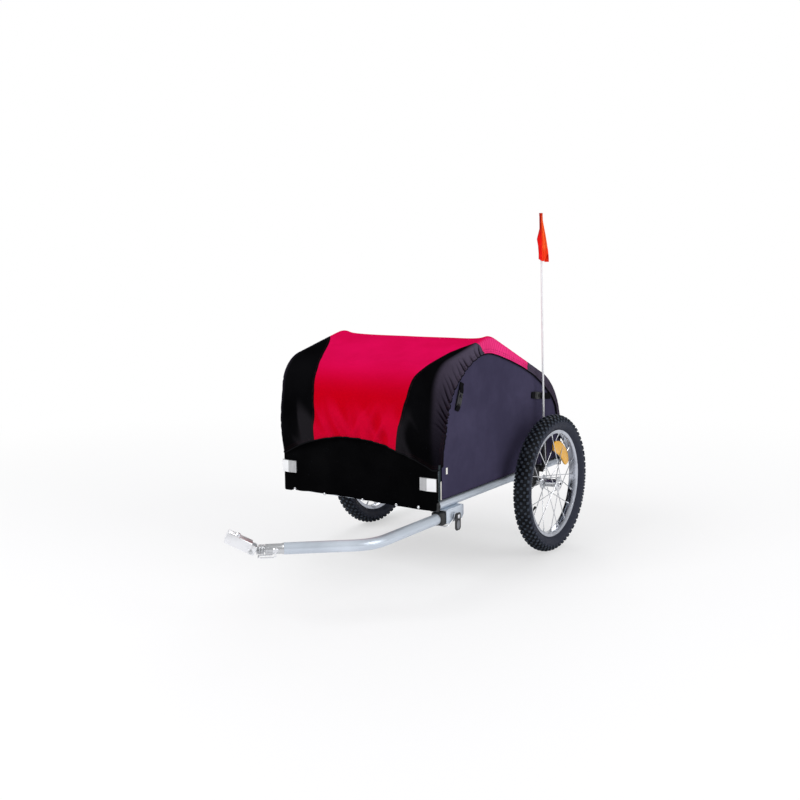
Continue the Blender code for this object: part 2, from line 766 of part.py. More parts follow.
lamp = [
    (-LAMP_W / 2, 0), (LAMP_W / 2, 0), (LAMP_W / 2, -LAMP_EDGE_T), (0, -LAMP_T), (-LAMP_W / 2, -LAMP_EDGE_T)
]
for end, (y, e) in ENDS.items():
    face = front_face - PANEL_T - FIT if e < 0 else rear_face + PANEL_T + FIT
    for side, s in SIDES.items():
        outline = [(s * LAMP_X + x, face - e * d) for x, d in lamp]
        name = f"{end}_{side}_reflector"
        piece = solid(plate(name, outline, LAMP_H, "XY", (LAMP_Z if e < 0 else REAR_LAMP_Z) + LAMP_H / 2))
        soften = piece.modifiers.new("Bevel", "BEVEL")
        soften.width = LAMP_SOFT
        soften.segments = 1
        put(piece, "white_lens" if e < 0 else "red_lens")

# Cover: one sewn cap over both hoops, its hem drawn round the sides

top = HOOP_R + CLOTH_GAP + COVER_T
front_out = FRONT_Y - (front_face - PANEL_T - CLOTH_GAP - COVER_T)
rear_out = rear_face + PANEL_T + CLOTH_GAP + COVER_T - REAR_Y
cover_runs = [Vector(p) for p in HOOP_RUNS]
cover_runs[0].y, cover_runs[-1].y = HEM_FRONT, HEM_REAR
cover_corners = offset(cover_runs, (front_out, top, top, rear_out))
profile = rounded(cover_corners, [b + top for b in HOOP_BENDS], 5)


def refined(path, longest):
    """The path with points added so that no run is longer than the given length."""
    points = [path[0]]
    for start, end in zip(path, path[1:]):
        count = max(1, math.ceil((end - start).length / longest))
        points += [start.lerp(end, (k + 1) / count) for k in range(count)]
    return points


profile = refined(profile, 0.07)
lengths = [0.0]
for start, end in zip(profile, profile[1:]):
    lengths.append(lengths[-1] + (end - start).length)


def band_at(share):
    """Width of the cloth turned down over the side, at a share of the way from front hem to rear hem."""
    for (a, wa), (b, wb) in zip(HEM_BAND, HEM_BAND[1:]):
        if share <= b:
            return wa + (wb - wa) * (share - a) / (b - a)
    return HEM_BAND[-1][1]


cover_side = panel_out + CLOTH_GAP + COVER_T
flat_half = cover_side - COVER_EDGE
wall_top = max(p.y for p in profile if abs(p.x - profile[0].x) < 0.0001)
rear_top = max(p.y for p in profile if abs(p.x - profile[-1].x) < 0.0001)
rows = []
for number, point in enumerate(profile):
    ahead = profile[min(number + 1, len(profile) - 1)] - profile[max(number - 1, 0)]
    inward = Vector((ahead.y, -ahead.x)).normalized()
    band = band_at(lengths[number] / lengths[-1])
    bulge, lift, sag = 0.0, 0.0, COVER_SAG
    if abs(point.x - profile[0].x) < 0.0001:
        share = (point.y - HEM_FRONT) / (wall_top - HEM_FRONT)
        bulge, lift, sag = COVER_BULGE * math.sin(math.pi * share), HEM_ARCH * (1 - share), 0.0
    elif abs(point.x - profile[-1].x) < 0.0001:
        share = (point.y - HEM_REAR) / max(rear_top - HEM_REAR, MERGE)
        lift, sag = HEM_ARCH / 2 * (1 - share), 0.0
    base = point - inward * bulge
    half_row = [(cover_side, base + inward * band), (cover_side, base + inward * (COVER_EDGE + band) / 2)]
    for turn in (0, 30, 60):
        a = math.radians(turn)
        half_row.append(
            (cover_side - COVER_EDGE * (1 - math.cos(a)), base + inward * COVER_EDGE * (1 - math.sin(a)))
        )
    for k in range(4):
        x = flat_half * (1 - k / 3.5)
        droop = 1 - (x / flat_half) ** 2
        half_row.append((x, base + inward * sag * droop + Vector((0, lift * droop))))
    rows.append([(x, p.x, p.y) for x, p in half_row] + [(-x, p.x, p.y) for x, p in reversed(half_row)])
mesh = bpy.data.meshes.new("cover")
across = len(rows[0])
corners = [p for row in rows for p in row]
faces = [(i * across + j, i * across + j + 1, (i + 1) * across + j + 1, (i + 1) * across + j)
         for i in range(len(rows) - 1) for j in range(across - 1)]
mesh.from_pydata(corners, [], faces)
cover = bpy.data.objects.new("cover", mesh)
skin = bmesh.new()
skin.from_mesh(mesh)
bmesh.ops.recalc_face_normals(skin, faces=skin.faces)
if sum(f.normal.z * f.calc_area() for f in skin.faces) < 0:
    bmesh.ops.reverse_faces(skin, faces=skin.faces)
skin.to_mesh(mesh)
skin.free()
mesh.shade_smooth()
thick = cover.modifiers.new("Solidify", "SOLIDIFY")
thick.thickness = COVER_T
thick.offset = -1.0
thick.use_even_offset = True
put(cover, "red_cloth")

for end, (y, z) in BUCKLES.items():
    row = min(range(len(profile)), key=lambda k: abs(profile[k].x - y) + (0 if profile[k].y > z else 1))
    reach = profile[row].y - band_at(lengths[row] / lengths[-1])
    for side, s in SIDES.items():
        name = f"{end}_{side}_buckle"
        face, out = panel_out + FIT, panel_out + BUCKLE_T
        z_low, z_high = z - BUCKLE_L / 2, z + BUCKLE_L / 2
        strap_face, strap_end = face + STRAP_T, z_low - STRAP_LENGTH
        outline = [
            (face, strap_end), (strap_face, strap_end), (strap_face, z_low),
            (out - BUCKLE_LIP, z_low + BUCKLE_LIP),
        ]
        outline += [
            (out, z_low + BUCKLE_RAMP), (out, z_high - BUCKLE_NOSE), (out - BUCKLE_LIP, z_high),
            (face, z_high),
        ]
        socket = solid(plate(name, [(s * x, h) for x, h in outline], BUCKLE_W, "XZ", y))
        put(socket, "black_plastic")
        for n, (a, b) in enumerate(((-1, -1), (1, 1))):
            x = sorted((s * (face - 0.01), s * (face + 0.02)))
            edge = sorted((y + a * STRAP_W / 2, y + b * BUCKLE_W))
            notch = block(
                f"{name}_notch_{n}", (x[0], edge[0], z_low - 2 * STRAP_LENGTH), (x[1], edge[1], z_low - FIT)
            )
            shape_with(socket, put(notch))
        x = sorted((s * (cover_side - COVER_T - CLOTH_GAP / 2), s * (cover_side + STRAP_T / 2)))
        strap = block(
            f"{name}_strap", (x[0], y - STRAP_W / 2, z_high + FIT),
            (x[1], y + STRAP_W / 2, reach + COVER_EDGE),
        )
        shape_with(cover, put(strap), "UNION")

# Tow bracket under the left rail, with the arm, its collar and the lock pin

half = BRACKET_W / 2
bracket_top = RAIL_Z - RAIL_R - FIT
inside = half - BRACKET_T
channel = [(half, bracket_top), (half, BRACKET_LOW), (inside, BRACKET_LOW), (inside, bracket_top - BRACKET_T),
           (
               -inside, bracket_top - BRACKET_T
           ), (-inside, BRACKET_LOW), (-half, BRACKET_LOW), (-half, bracket_top)]
length = BRACKET_REAR - BRACKET_FRONT
bracket = solid(
    plate(
        "tow_bracket", [(ARM_X + x, z) for x, z in channel], length, "XZ",
        (BRACKET_FRONT + BRACKET_REAR) / 2,
    )
)
put(bracket, "silver_tube")
trim_low = (ARM_X - BRACKET_W, BRACKET_REAR - BRACKET_TRIM / 2, BRACKET_LOW - BRACKET_TRIM)
trim_high = (ARM_X + BRACKET_W, BRACKET_REAR + BRACKET_TRIM, BRACKET_LOW + BRACKET_TRIM / 2)
trim = block("bracket_trim", trim_low, trim_high)
trim.rotation_euler.x = math.radians(TRIM_ANGLE)
shape_with(bracket, put(trim))
pin_hole = rod(
    "lock_pin_hole", (ARM_X - BRACKET_W, PIN_Y, ARM_Z), (ARM_X + BRACKET_W, PIN_Y, ARM_Z), PIN_R + FIT, 12
)
shape_with(bracket, put(pin_hole))

collar_half = inside - FIT
collar = block(
    "tow_collar", (ARM_X - collar_half, COLLAR_FRONT, ARM_Z - collar_half),
    (ARM_X + collar_half, COLLAR_REAR, ARM_Z + collar_half), COLLAR_SOFT,
)
put(collar, "black_plastic")
shape_with(
    collar,
    put(
        rod(
            "collar_bore", (ARM_X, COLLAR_FRONT - ARM_R, ARM_Z), (ARM_X, COLLAR_REAR + ARM_R, ARM_Z),
            ARM_R + FIT, 24,
        )
    ),
)

turn = math.radians(ARM_TURN)
toward = Vector((-math.sin(turn), -math.cos(turn), 0))
corner = Vector((ARM_X, ARM_CORNER, ARM_Z))
arm_end = corner + toward * ARM_REACH
arm_path = rounded(((ARM_X, ARM_REAR, ARM_Z), corner, arm_end), [ARM_BEND], 8)
arm = put(solid(wire("tow_arm", [arm_path], ARM_R, 5)), "silver_tube")
core = [arm_path[0] + Vector((0, CORE_PAST, 0))] + arm_path[1:-1] + [arm_end + toward * CORE_PAST]
shape_with(arm, put(solid(wire("tow_arm_core", [core], ARM_R - ARM_WALL, 5))))
shape_with(
    arm,
    put(
        rod(
            "arm_pin_hole", (ARM_X - BRACKET_W, PIN_Y, ARM_Z), (ARM_X + BRACKET_W, PIN_Y, ARM_Z),
            PIN_R + FIT, 12,
        )
    ),
)

neck = half + NECK
flange = neck + PIN_HEAD_T
tab_room = flange + TAB_T + 2 * FIT
cap = tab_room + PIN_HEAD_T
tail = -half - PIN_TAIL
cap_r = PIN_HEAD_R * PIN_CAP
pin = [(0, cap), (cap_r, cap), (cap_r, tab_room), (PIN_BOSS_R, tab_room), (PIN_BOSS_R, flange)]
pin += [(PIN_HEAD_R, flange), (PIN_HEAD_R, neck), (PIN_R, neck), (PIN_R, tail + PIN_TIP)]
pin += [(PIN_R - PIN_TIP, tail), (0, tail)]
put(aim(turned("lock_pin", pin, 12), (ARM_X, PIN_Y, ARM_Z), (ARM_X + 1, PIN_Y, ARM_Z)), "bright_steel")


def wrapped_wire(name, grip, leg_angle, bends, look, parent):
    """Wire wound once round local Z at the origin, whose leg then runs through the given points."""
    loop_r = grip + FIT + WIRE_R
    turns = [polar(loop_r, leg_angle + 60 + 30 * k) for k in range(11)]
    legs = rounded([turns[-1]] + bends, [WIRE_R * 2] * (len(bends) - 1), 3)
    return put(wire(name, [turns + legs[1:]], WIRE_R, 1), look, parent)


# Local Z runs out along the pin, local X down and local Y towards the rear
pin_frame = empty("lock_pin_axis", trailer, (ARM_X, PIN_Y, ARM_Z))
pin_frame.rotation_euler = Matrix(((0, 0, 1), (0, 1, 0), (-1, 0, 0))).to_euler()
out = half + NECK / 2
ring_end = polar(RING_REACH, 0, -(inside + half))
ring = wrapped_wire("lock_pin_ring", PIN_R, 0, [polar(RING_REACH, 0), ring_end], "bright_steel", pin_frame)
ring.location.z = out
ring.rotation_euler.z = math.radians(RING_ANGLE - 270)

middle = ARM_X + flange + FIT + TAB_T / 2
tab_outline = rounded(
    [(PIN_Y, TAB_TOP + ARM_Z), (PIN_Y + TAB_W / 2, TAB_TOP + ARM_Z), (PIN_Y + TAB_W / 2, ARM_Z - TAB_DROP),
     (PIN_Y - TAB_W / 2, ARM_Z - TAB_DROP), (PIN_Y - TAB_W / 2, ARM_Z + TAB_TOP), (PIN_Y, ARM_Z + TAB_TOP)],
    [TAB_BENDS[0], TAB_BENDS[1], TAB_BENDS[1], TAB_BENDS[0]], 4,
)
tab = put(
    solid(plate("lock_pin_tab", [tuple(p) for p in tab_outline[:-1]], TAB_T, "YZ", middle)), "black_plastic"
)
tab_hole = rod(
    "tab_hole", (middle - TAB_T, PIN_Y, ARM_Z), (middle + TAB_T, PIN_Y, ARM_Z), PIN_BOSS_R + FIT, 16
)
shape_with(tab, put(tab_hole))
dish_low = (middle + TAB_T / 2 - DISH_DEPTH, PIN_Y - TAB_W / 2 + DISH_EDGE, ARM_Z - TAB_DROP + DISH_FOOT)
dish_high = (middle + TAB_T, PIN_Y + TAB_W / 2 - DISH_EDGE, ARM_Z - PIN_HEAD_R - DISH_HEAD)
dish = block("tab_dish", dish_low, dish_high)
shape_with(tab, put(dish))

# Hitch: plug in the arm's end, cross pin with bail, spring, knuckle and clamp

hitch = empty("hitch", trailer, arm_end, (0, 0, -90 - ARM_TURN))
face = PLUG_LENGTH
tail_r = ARM_R - ARM_WALL - FIT * 2
plug_profile = [(0, face + CORE_LENGTH), (SPRING_CORE_R, face + CORE_LENGTH), (SPRING_CORE_R, face)]
plug_profile += [(PLUG_R, face), (PLUG_R, FIT), (tail_r, FIT), (tail_r, -PLUG_SEAT), (0, -PLUG_SEAT)]
plug = put(aim(turned("hitch_plug", plug_profile, 20), (0, 0, 0), (1, 0, 0)), "bright_steel", hitch)
cross_hole = rod(
    "hitch_pin_hole", (HITCH_PIN_AT, -2 * PLUG_R, 0), (HITCH_PIN_AT, 2 * PLUG_R, 0), HITCH_PIN_R + FIT, 12
)
shape_with(plug, put(cross_hole, parent=hitch))
h_neck = PLUG_R + NECK
h_head = h_neck + PIN_HEAD_T
h_tail = -PLUG_R - PIN_TAIL
pin = [(0, h_head), (PIN_HEAD_R * PIN_CAP, h_head), (PIN_HEAD_R * PIN_CAP, h_neck), (HITCH_PIN_R, h_neck),
       (HITCH_PIN_R, h_tail + PIN_TIP), (HITCH_PIN_R - HITCH_PIN_TAPER, h_tail), (0, h_tail)]
put(aim(turned("hitch_pin", pin, 12), (HITCH_PIN_AT, 0, 0), (HITCH_PIN_AT, 1, 0)), "bright_steel", hitch)
# Local Z runs out along the pin, local X down and local Y towards the arm
bail_frame = empty("hitch_pin_axis", hitch, (HITCH_PIN_AT, 0, 0))
bail_frame.rotation_euler = Matrix(((0, -1, 0), (0, 0, 1), (-1, 0, 0))).to_euler()
low_leg = [(BAIL_DROP, -reach, depth) for reach, depth in
           ((0, 0), (BAIL_LENGTH, 0), (BAIL_LENGTH, -2 * PLUG_R), (0, -2 * PLUG_R))]
bail = wrapped_wire("hitch_pin_bail", HITCH_PIN_R, 0, low_leg, "bright_steel", bail_frame)
bail.location.z = PLUG_R + NECK / 2

start = face + FIT + SPRING_WIRE
pitch = (SPRING_LENGTH - 2 * (FIT + SPRING_WIRE)) / SPRING_TURNS
coil = []
for k in range(COIL_STEPS * SPRING_TURNS + 1):
    angle = math.tau * k / COIL_STEPS
    coil.append((start + pitch * k / COIL_STEPS, SPRING_R * math.cos(angle), SPRING_R * math.sin(angle)))
put(wire("hitch_spring", [coil], SPRING_WIRE, 1), "bright_steel", hitch)

flange_at = face + SPRING_LENGTH
pivot = flange_at + KNUCKLE_FLANGE + KNUCKLE_NECK
flange_face, core_end = flange_at + KNUCKLE_FLANGE, flange_at - CORE_LENGTH
body = [(0, pivot - FIT), (KNUCKLE_NECK_R, pivot - FIT), (KNUCKLE_NECK_R, flange_face), (PLUG_R, flange_face)]
body += [(PLUG_R, flange_at), (SPRING_CORE_R, flange_at), (SPRING_CORE_R, core_end), (0, core_end)]
knuckle = solid(aim(turned("hitch_knuckle", body, 16), (0, 0, 0), (1, 0, 0)))
knuckle.data.transform(Matrix.Translation((-pivot, 0, 0)) @ knuckle.matrix_world)
knuckle.matrix_world = Matrix.Translation((pivot, 0, 0))
put(knuckle, "bright_steel", hitch)
cheek = CLAMP_W / 2
barrel_half = cheek - CLAMP_T - FIT
barrel = rod("knuckle_barrel", (pivot, -barrel_half, 0), (pivot, barrel_half, 0), BARREL_R, 14)
reach = cheek + FIT + PIVOT_HEAD_T
pivot_pin = rod("knuckle_pin", (pivot, -reach, 0), (pivot, reach, 0), PIVOT_R, 12)
shape_with(knuckle, put(barrel, parent=hitch), "UNION")
shape_with(knuckle, put(pivot_pin, parent=hitch), "UNION")
for s in (-1, 1):
    button = rod(
        f"knuckle_head_{s}", (pivot, s * (cheek + FIT), 0), (pivot, s * (reach + FIT), 0), PIVOT_HEAD_R, 10
    )
    shape_with(knuckle, put(button, parent=hitch), "UNION")

clamp_axis = empty("clamp_axis", hitch, (pivot, 0, 0), (0, -CLAMP_PITCH, 0))
gap = cheek - CLAMP_T
saddle = [(cheek, CLAMP_TOP), (cheek, -CLAMP_LOW), (gap, -CLAMP_LOW), (gap, CLAMP_TOP - CLAMP_T),
          (-gap, CLAMP_TOP - CLAMP_T), (-gap, -CLAMP_LOW), (-cheek, -CLAMP_LOW), (-cheek, CLAMP_TOP)]
clamp = solid(plate("hitch_clamp", saddle, CLAMP_FRONT + CLAMP_REAR, "YZ", (CLAMP_FRONT - CLAMP_REAR) / 2))
put(clamp, "bright_steel", clamp_axis)
shape_with(
    clamp,
    put(rod("clamp_pivot_hole", (0, -CLAMP_W, 0), (0, CLAMP_W, 0), PIVOT_R + FIT, 12), parent=clamp_axis),
)
shape_with(
    clamp,
    put(
        rod("clamp_bolt_hole", (BOLT_AT, 0, 0), (BOLT_AT, 0, 2 * CLAMP_TOP), BOLT_R + FIT, 12),
        parent=clamp_axis,
    ),
)
notch = block("clamp_notch", (-2 * CLAMP_REAR, -gap, BARREL_R + FIT), (CLAMP_NOTCH, gap, 2 * CLAMP_TOP))
shape_with(clamp, put(notch, parent=clamp_axis))
seat = CLAMP_TOP + FIT
bolt_profile = [
    (0, BOLT_HEAD_T), (BOLT_R, BOLT_HEAD_T), (BOLT_R, 0), (BOLT_R, -BOLT_LENGTH), (0, -BOLT_LENGTH)
]
bolt = turned("hitch_clamp_bolt", bolt_profile, 12)
bolt.location = (BOLT_AT, 0, seat)
put(bolt, "bright_steel", clamp_axis)
head = turned("bolt_head", [(0, BOLT_HEAD_T), (BOLT_HEAD_R, BOLT_HEAD_T), (BOLT_HEAD_R, 0), (0, 0)], 6)
head.location = bolt.location
shape_with(bolt, put(head, parent=clamp_axis), "UNION")

# Flag: socket clipped to the rail, pole and furled flag

lean = math.radians(POLE_LEAN)
foot = Vector((POLE_X, POLE_Y, SOCKET_FOOT))
upward = Vector((0, -math.sin(lean), math.cos(lean)))


def up_pole(z):
    """Place on the pole's axis at a height."""
    return foot + upward * ((z - foot.z) / upward.z)


sleeve_r = POLE_R + FIT + SOCKET_WALL
socket = rod("flag_socket", foot - upward * SOCKET_WALL, up_pole(SOCKET_TOP), sleeve_r, 12)
put(socket, "black_plastic")
clip_low = RAIL_Z - RAIL_R - PLAY
clip_y = RECEIVER_HALF + PLAY
clip_block = block(
    "socket_clip", (RAIL_X - RAIL_R - PLAY, clip_y, clip_low),
    (POLE_X + sleeve_r, clip_y + 2 * CLIP_HALF, CORNER_TOP),
)
shape_with(socket, put(clip_block), "UNION")
rail_bore = rod(
    "socket_rail_bore", (RAIL_X, 0, RAIL_Z), (RAIL_X, clip_y + 4 * CLIP_HALF, RAIL_Z), RAIL_R + FIT, 20
)
shape_with(socket, put(rail_bore))
shape_with(socket, put(rod("socket_pole_bore", foot, up_pole(SOCKET_TOP + 0.05), POLE_R + FIT, 12)))
pole_foot = foot + upward * FIT
pole = rod("flag_pole", pole_foot, up_pole(POLE_TOP), POLE_R, 10)
put(pole, "white_pole")

tall = (up_pole(FLAG_TOP) - up_pole(FLAG_LOW)).length
bore, closed_at = POLE_R + FIT, (up_pole(POLE_TOP) - up_pole(FLAG_LOW)).length + FIT
outer = [(0, tall)]
for k in range(FLAG_ROWS + 1):
    swell = FLAG_R * math.sin(math.pi * (0.1 + 0.75 * k / FLAG_ROWS))
    outer.append((bore + 0.002 + swell, tall * (1 - k / FLAG_ROWS)))
flag = solid(turned("flag", outer + [(bore, 0), (bore, closed_at), (0, closed_at)], 16))
for vertex in flag.data.vertices:
    radius = math.hypot(vertex.co.x, vertex.co.y)
    if radius > bore + 0.0015:
        angle = math.atan2(vertex.co.y, vertex.co.x)
        fold = 1 + 0.22 * math.sin(3 * angle + 30 * vertex.co.z) + 0.25 * math.cos(angle)
        grown = max((bore + FLAG_CLOTH) / radius, fold)
        vertex.co.x *= grown
        vertex.co.y *= grown
flag.data.update()
aim(flag, up_pole(FLAG_LOW), up_pole(FLAG_TOP))
put(flag, "orange_cloth")

# Round pieces look smooth, with their real edges kept sharp

for obj in parts.objects:
    if obj.type == "MESH":
        obj.data.shade_smooth()
        obj.data.set_sharp_from_angle(angle=math.radians(35))

# The trailer stands on the ground with its origin under the middle of its box

bpy.context.view_layer.update()
graph = bpy.context.evaluated_depsgraph_get()
lows, highs = [], []
for obj in parts.objects:
    if obj.type == "EMPTY":
        continue
    shown = obj.evaluated_get(graph)
    held = shown.to_mesh()
    ys = [(shown.matrix_world @ v.co).y for v in held.vertices]
    lows.append(min(ys))
    highs.append(max(ys))
    shown.to_mesh_clear()
trailer.location.y = -(min(lows) + max(highs)) / 2
bpy.context.view_layer.update()
spring_middle = hitch.matrix_world @ Vector((face + SPRING_LENGTH / 2, 0, 0))
places = {
    "wheel": (TRACK / 2, trailer.location.y, WHEEL_R),
    "lock_pin": pin_frame.matrix_world.translation,
    "hitch_pin": bail_frame.matrix_world.translation,
    "spring_middle": spring_middle,
    "clamp_pivot": clamp_axis.matrix_world.translation,
    "bolt": bolt.matrix_world.translation,
    "pole_foot": pole.matrix_world.translation,
    "toward": toward,
    "bolt_axis": clamp_axis.matrix_world.to_3x3() @ Vector((0, 0, 1)),
    "upward": upward,
}
for name, place in places.items():
    print(name, [round(float(v), 5) for v in place])
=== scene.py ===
import math
import random
from functools import cache

import bmesh
import bpy
from mathutils import Matrix, Vector, noise


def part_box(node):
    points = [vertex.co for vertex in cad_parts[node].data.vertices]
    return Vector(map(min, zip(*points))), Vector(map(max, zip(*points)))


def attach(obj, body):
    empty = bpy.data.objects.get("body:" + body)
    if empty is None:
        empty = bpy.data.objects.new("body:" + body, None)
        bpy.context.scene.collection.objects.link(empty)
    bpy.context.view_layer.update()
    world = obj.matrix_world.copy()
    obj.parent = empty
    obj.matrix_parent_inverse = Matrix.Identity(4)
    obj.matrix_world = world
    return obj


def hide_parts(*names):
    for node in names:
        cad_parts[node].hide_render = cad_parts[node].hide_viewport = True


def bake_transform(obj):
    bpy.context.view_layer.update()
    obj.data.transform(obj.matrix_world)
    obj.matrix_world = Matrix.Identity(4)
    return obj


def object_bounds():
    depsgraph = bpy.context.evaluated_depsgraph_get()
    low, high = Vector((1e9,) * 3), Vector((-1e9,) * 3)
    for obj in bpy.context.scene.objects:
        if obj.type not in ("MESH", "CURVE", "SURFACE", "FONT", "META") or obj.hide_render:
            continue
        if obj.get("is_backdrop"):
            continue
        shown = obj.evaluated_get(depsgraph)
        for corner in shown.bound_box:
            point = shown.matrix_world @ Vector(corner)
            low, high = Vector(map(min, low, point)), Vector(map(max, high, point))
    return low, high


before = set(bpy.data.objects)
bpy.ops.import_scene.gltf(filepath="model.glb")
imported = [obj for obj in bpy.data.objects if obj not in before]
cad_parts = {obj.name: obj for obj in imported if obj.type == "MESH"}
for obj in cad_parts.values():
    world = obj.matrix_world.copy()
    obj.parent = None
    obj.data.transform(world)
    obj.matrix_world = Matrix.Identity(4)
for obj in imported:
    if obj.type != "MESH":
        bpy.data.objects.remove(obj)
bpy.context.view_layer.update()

# Studio
# A pale floor and an even white surround, with a broad lamp high in front, one on the trailer's
# left and one behind. The camera stands ahead of it on its left and looks a little down.
tyre_low, tyre_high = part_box("left_tyre")
AXLE_Y = (tyre_low.y + tyre_high.y) / 2
FROM_AXLE = Matrix.Translation((0, AXLE_Y, 0))
PICTURE, FOCAL, SENSOR = 800, 1043.5, 36
CAMERA_PLACE = (1.6508, -2.7313, 0.875)
YAW, PITCH, ROLL = 0.5993, -0.1395, -0.0117
SURROUND = 0.55  # its light on the object, of what the camera sees

scene = bpy.context.scene
scene.view_settings.view_transform = "Standard"
eye = bpy.data.objects.new("camera", bpy.data.cameras.new("camera"))
eye.data.sensor_width = SENSOR
eye.data.lens = FOCAL / PICTURE * SENSOR
eye.data.clip_end = 60
look_down = Matrix.Rotation(math.pi / 2 + PITCH, 4, "X") @ Matrix.Rotation(ROLL, 4, "Z")
eye.matrix_world = FROM_AXLE @ Matrix.Translation(CAMERA_PLACE) @ Matrix.Rotation(YAW, 4, "Z") @ look_down
scene.collection.objects.link(eye)
scene.camera = eye


def lamp(name, place, aim, size, power):
    """Square soft lamp."""
    light = bpy.data.lights.new(name, "AREA")
    light.size, light.energy = size, power
    holder = bpy.data.objects.new(name, light)
    holder.location = place
    holder.rotation_euler = (Vector(aim) - Vector(place)).to_track_quat("-Z", "Y").to_euler()
    scene.collection.objects.link(holder)


lamp("key_lamp", (-1.4, -3.4, 3.2), (0, 0.1, 0.3), 2.2, 105)
lamp("side_lamp", (3.8, 0.2, 2.0), (0.2, 0.2, 0.3), 2.5, 62)
lamp("back_lamp", (-1.5, 3.6, 2.6), (0, 0.2, 0.4), 2.0, 40)


class Wire:
    """A shader socket that takes part in sums."""

    def __init__(self, nodes, socket):
        self.nodes, self.socket = nodes, socket

    def maths(self, operation, *others):
        return self.nodes.node("Math", {"operation": operation}, dict(enumerate((self, *others))))

    def __add__(self, other):
        return self.maths("ADD", other)

    def __mul__(self, other):
        return self.maths("MULTIPLY", other)

    def __sub__(self, other):
        return self.maths("SUBTRACT", other)

    def __rsub__(self, other):
        return self.nodes.node("Math", {"operation": "SUBTRACT"}, {0: other, 1: self})

    def __truediv__(self, other):
        return self.maths("DIVIDE", other)

    def __abs__(self):
        return self.maths("ABSOLUTE")

    __radd__, __rmul__ = __add__, __mul__

    def reach(self, other):
        """Distance from the origin of a point with these two coordinates."""
        return (self * self + other * other).maths("SQRT")

    def wave(self, length):
        """Sine that repeats every so many metres."""
        return (self * (math.tau / length)).maths("SINE")

    def between(self, low, high):
        """Smooth mask, 0 up to low and 1 from high."""
        values = {"Value": self, "From Min": low, "From Max": high}
        return self.nodes.node("MapRange", {"interpolation_type": "SMOOTHSTEP"}, values)


class Nodes:
    """A node tree, and the one way in which its nodes are made and fed."""

    def __init__(self, tree):
        self.tree = tree

    def feed(self, socket, value):
        if isinstance(value, Wire):
            self.tree.links.new(value.socket, socket)
        elif isinstance(value, tuple) and len(value) == 3 and socket.type == "RGBA":
            socket.default_value = (*value, 1)
        else:
            socket.default_value = value

    def node(self, kind, settings=None, values=None, out=0):
        made = self.tree.nodes.new("ShaderNode" + kind)
        for key, value in (settings or {}).items():
            setattr(made, key, value)
        for key, value in (values or {}).items():
            self.feed(made.inputs[key], value)
        return Wire(self, made.outputs[out])


class Finish(Nodes):
    """The look of one kind of piece, and the slot of the record that it belongs to."""

    def __init__(self, name, slot, colour, roughness, metallic=0.0, **constants):
        self.slot, self.material = slot, bpy.data.materials.new(name)
        self.material.use_nodes = True
        super().__init__(self.material.node_tree)
        self.shader = self.tree.nodes["Principled BSDF"]
        self.set(Base_Color=colour, Roughness=roughness, Metallic=metallic, **constants)

    def set(self, **values):
        for key, value in values.items():
            self.feed(self.shader.inputs[key.replace("_", " ")], value)

    def place(self, scale=(1, 1, 1)):
        return self.node("Mapping", {}, {"Vector": self.node("TexCoord", out="Object"), "Scale": scale})

    def parts(self, vector):
        split = self.node("SeparateXYZ", {}, {0: vector})
        return [Wire(self, out) for out in split.socket.node.outputs]

    def tag(self, name):
        """A value that the piece's points carry."""
        return self.node("Attribute", {"attribute_name": name}, out="Fac")

    def cloth(self):
        """Metres across and along a piece of cloth."""
        return self.parts(self.node("UVMap", {"uv_map": "cloth"}))[:2]

    def noise(self, scale, detail=3.0, rough=0.55, stretch=(1, 1, 1)):
        values = {"Vector": self.place(stretch), "Scale": scale, "Detail": detail, "Roughness": rough}
        return self.node("TexNoise", {}, values)

    def mix(self, mask, first, second):
        """Colour that goes from first to second as the mask goes from 0 to 1."""
        return self.node("Mix", {"data_type": "RGBA"}, {0: mask, 6: first, 7: second}, 2)

    def bump(self, *heights):
        """Relief from pairs of height, from 0 to 1, and depth in metres."""
        before = {}
        for height, depth in heights:
            values = {"Height": height, "Distance": depth, "Strength": 1.0}
            before = {"Normal": self.node("Bump", {}, values | before)}
        self.set(**before)


def seen(r, g, b):
    """A colour as a screen shows it, in the linear numbers that shaders take."""
    return tuple(((c / 255 + 0.055) / 1.055) ** 2.4 if c > 10 else c / 3294 for c in (r, g, b))


floor_look = Finish("studio_floor", None, seen(246, 246, 248), 0.9, Specular_IOR_Level=0.1)
east, north, _ = floor_look.parts(floor_look.place())
away = east.reach(north).between(1.0, 3.2)
glow = floor_look.node("Emission", {}, {"Color": seen(255, 255, 255), "Strength": 1.0})
watched = floor_look.node("LightPath", out="Is Camera Ray") * (SURROUND + away * (1 - SURROUND))
lit = Wire(floor_look, floor_look.shader.outputs[0])
floor_mix = floor_look.node("MixShader", {}, {0: watched, 1: lit, 2: glow})
floor_look.feed(floor_look.tree.nodes["Material Output"].inputs[0], floor_mix)
ground = bmesh.new()
bmesh.ops.create_grid(ground, x_segments=1, y_segments=1, size=20)
floor_mesh = bpy.data.meshes.new("studio_floor")
ground.to_mesh(floor_mesh)
ground.free()
floor_mesh.materials.append(floor_look.material)
studio_floor = bpy.data.objects.new("studio_floor", floor_mesh)
scene.collection.objects.link(studio_floor)
studio_floor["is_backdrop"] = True

scene.world = bpy.data.worlds.new("surround")
scene.world.use_nodes = True
air = Nodes(scene.world.node_tree)
backdrop = air.tree.nodes["Background"]
through = air.node("LightPath", out="Is Transmission Ray")
clear = air.node("LightPath", out="Is Camera Ray").maths("MAXIMUM", through)
air.feed(backdrop.inputs["Color"], (1, 1, 1))
air.feed(backdrop.inputs["Strength"], SURROUND + clear * (1 - SURROUND))

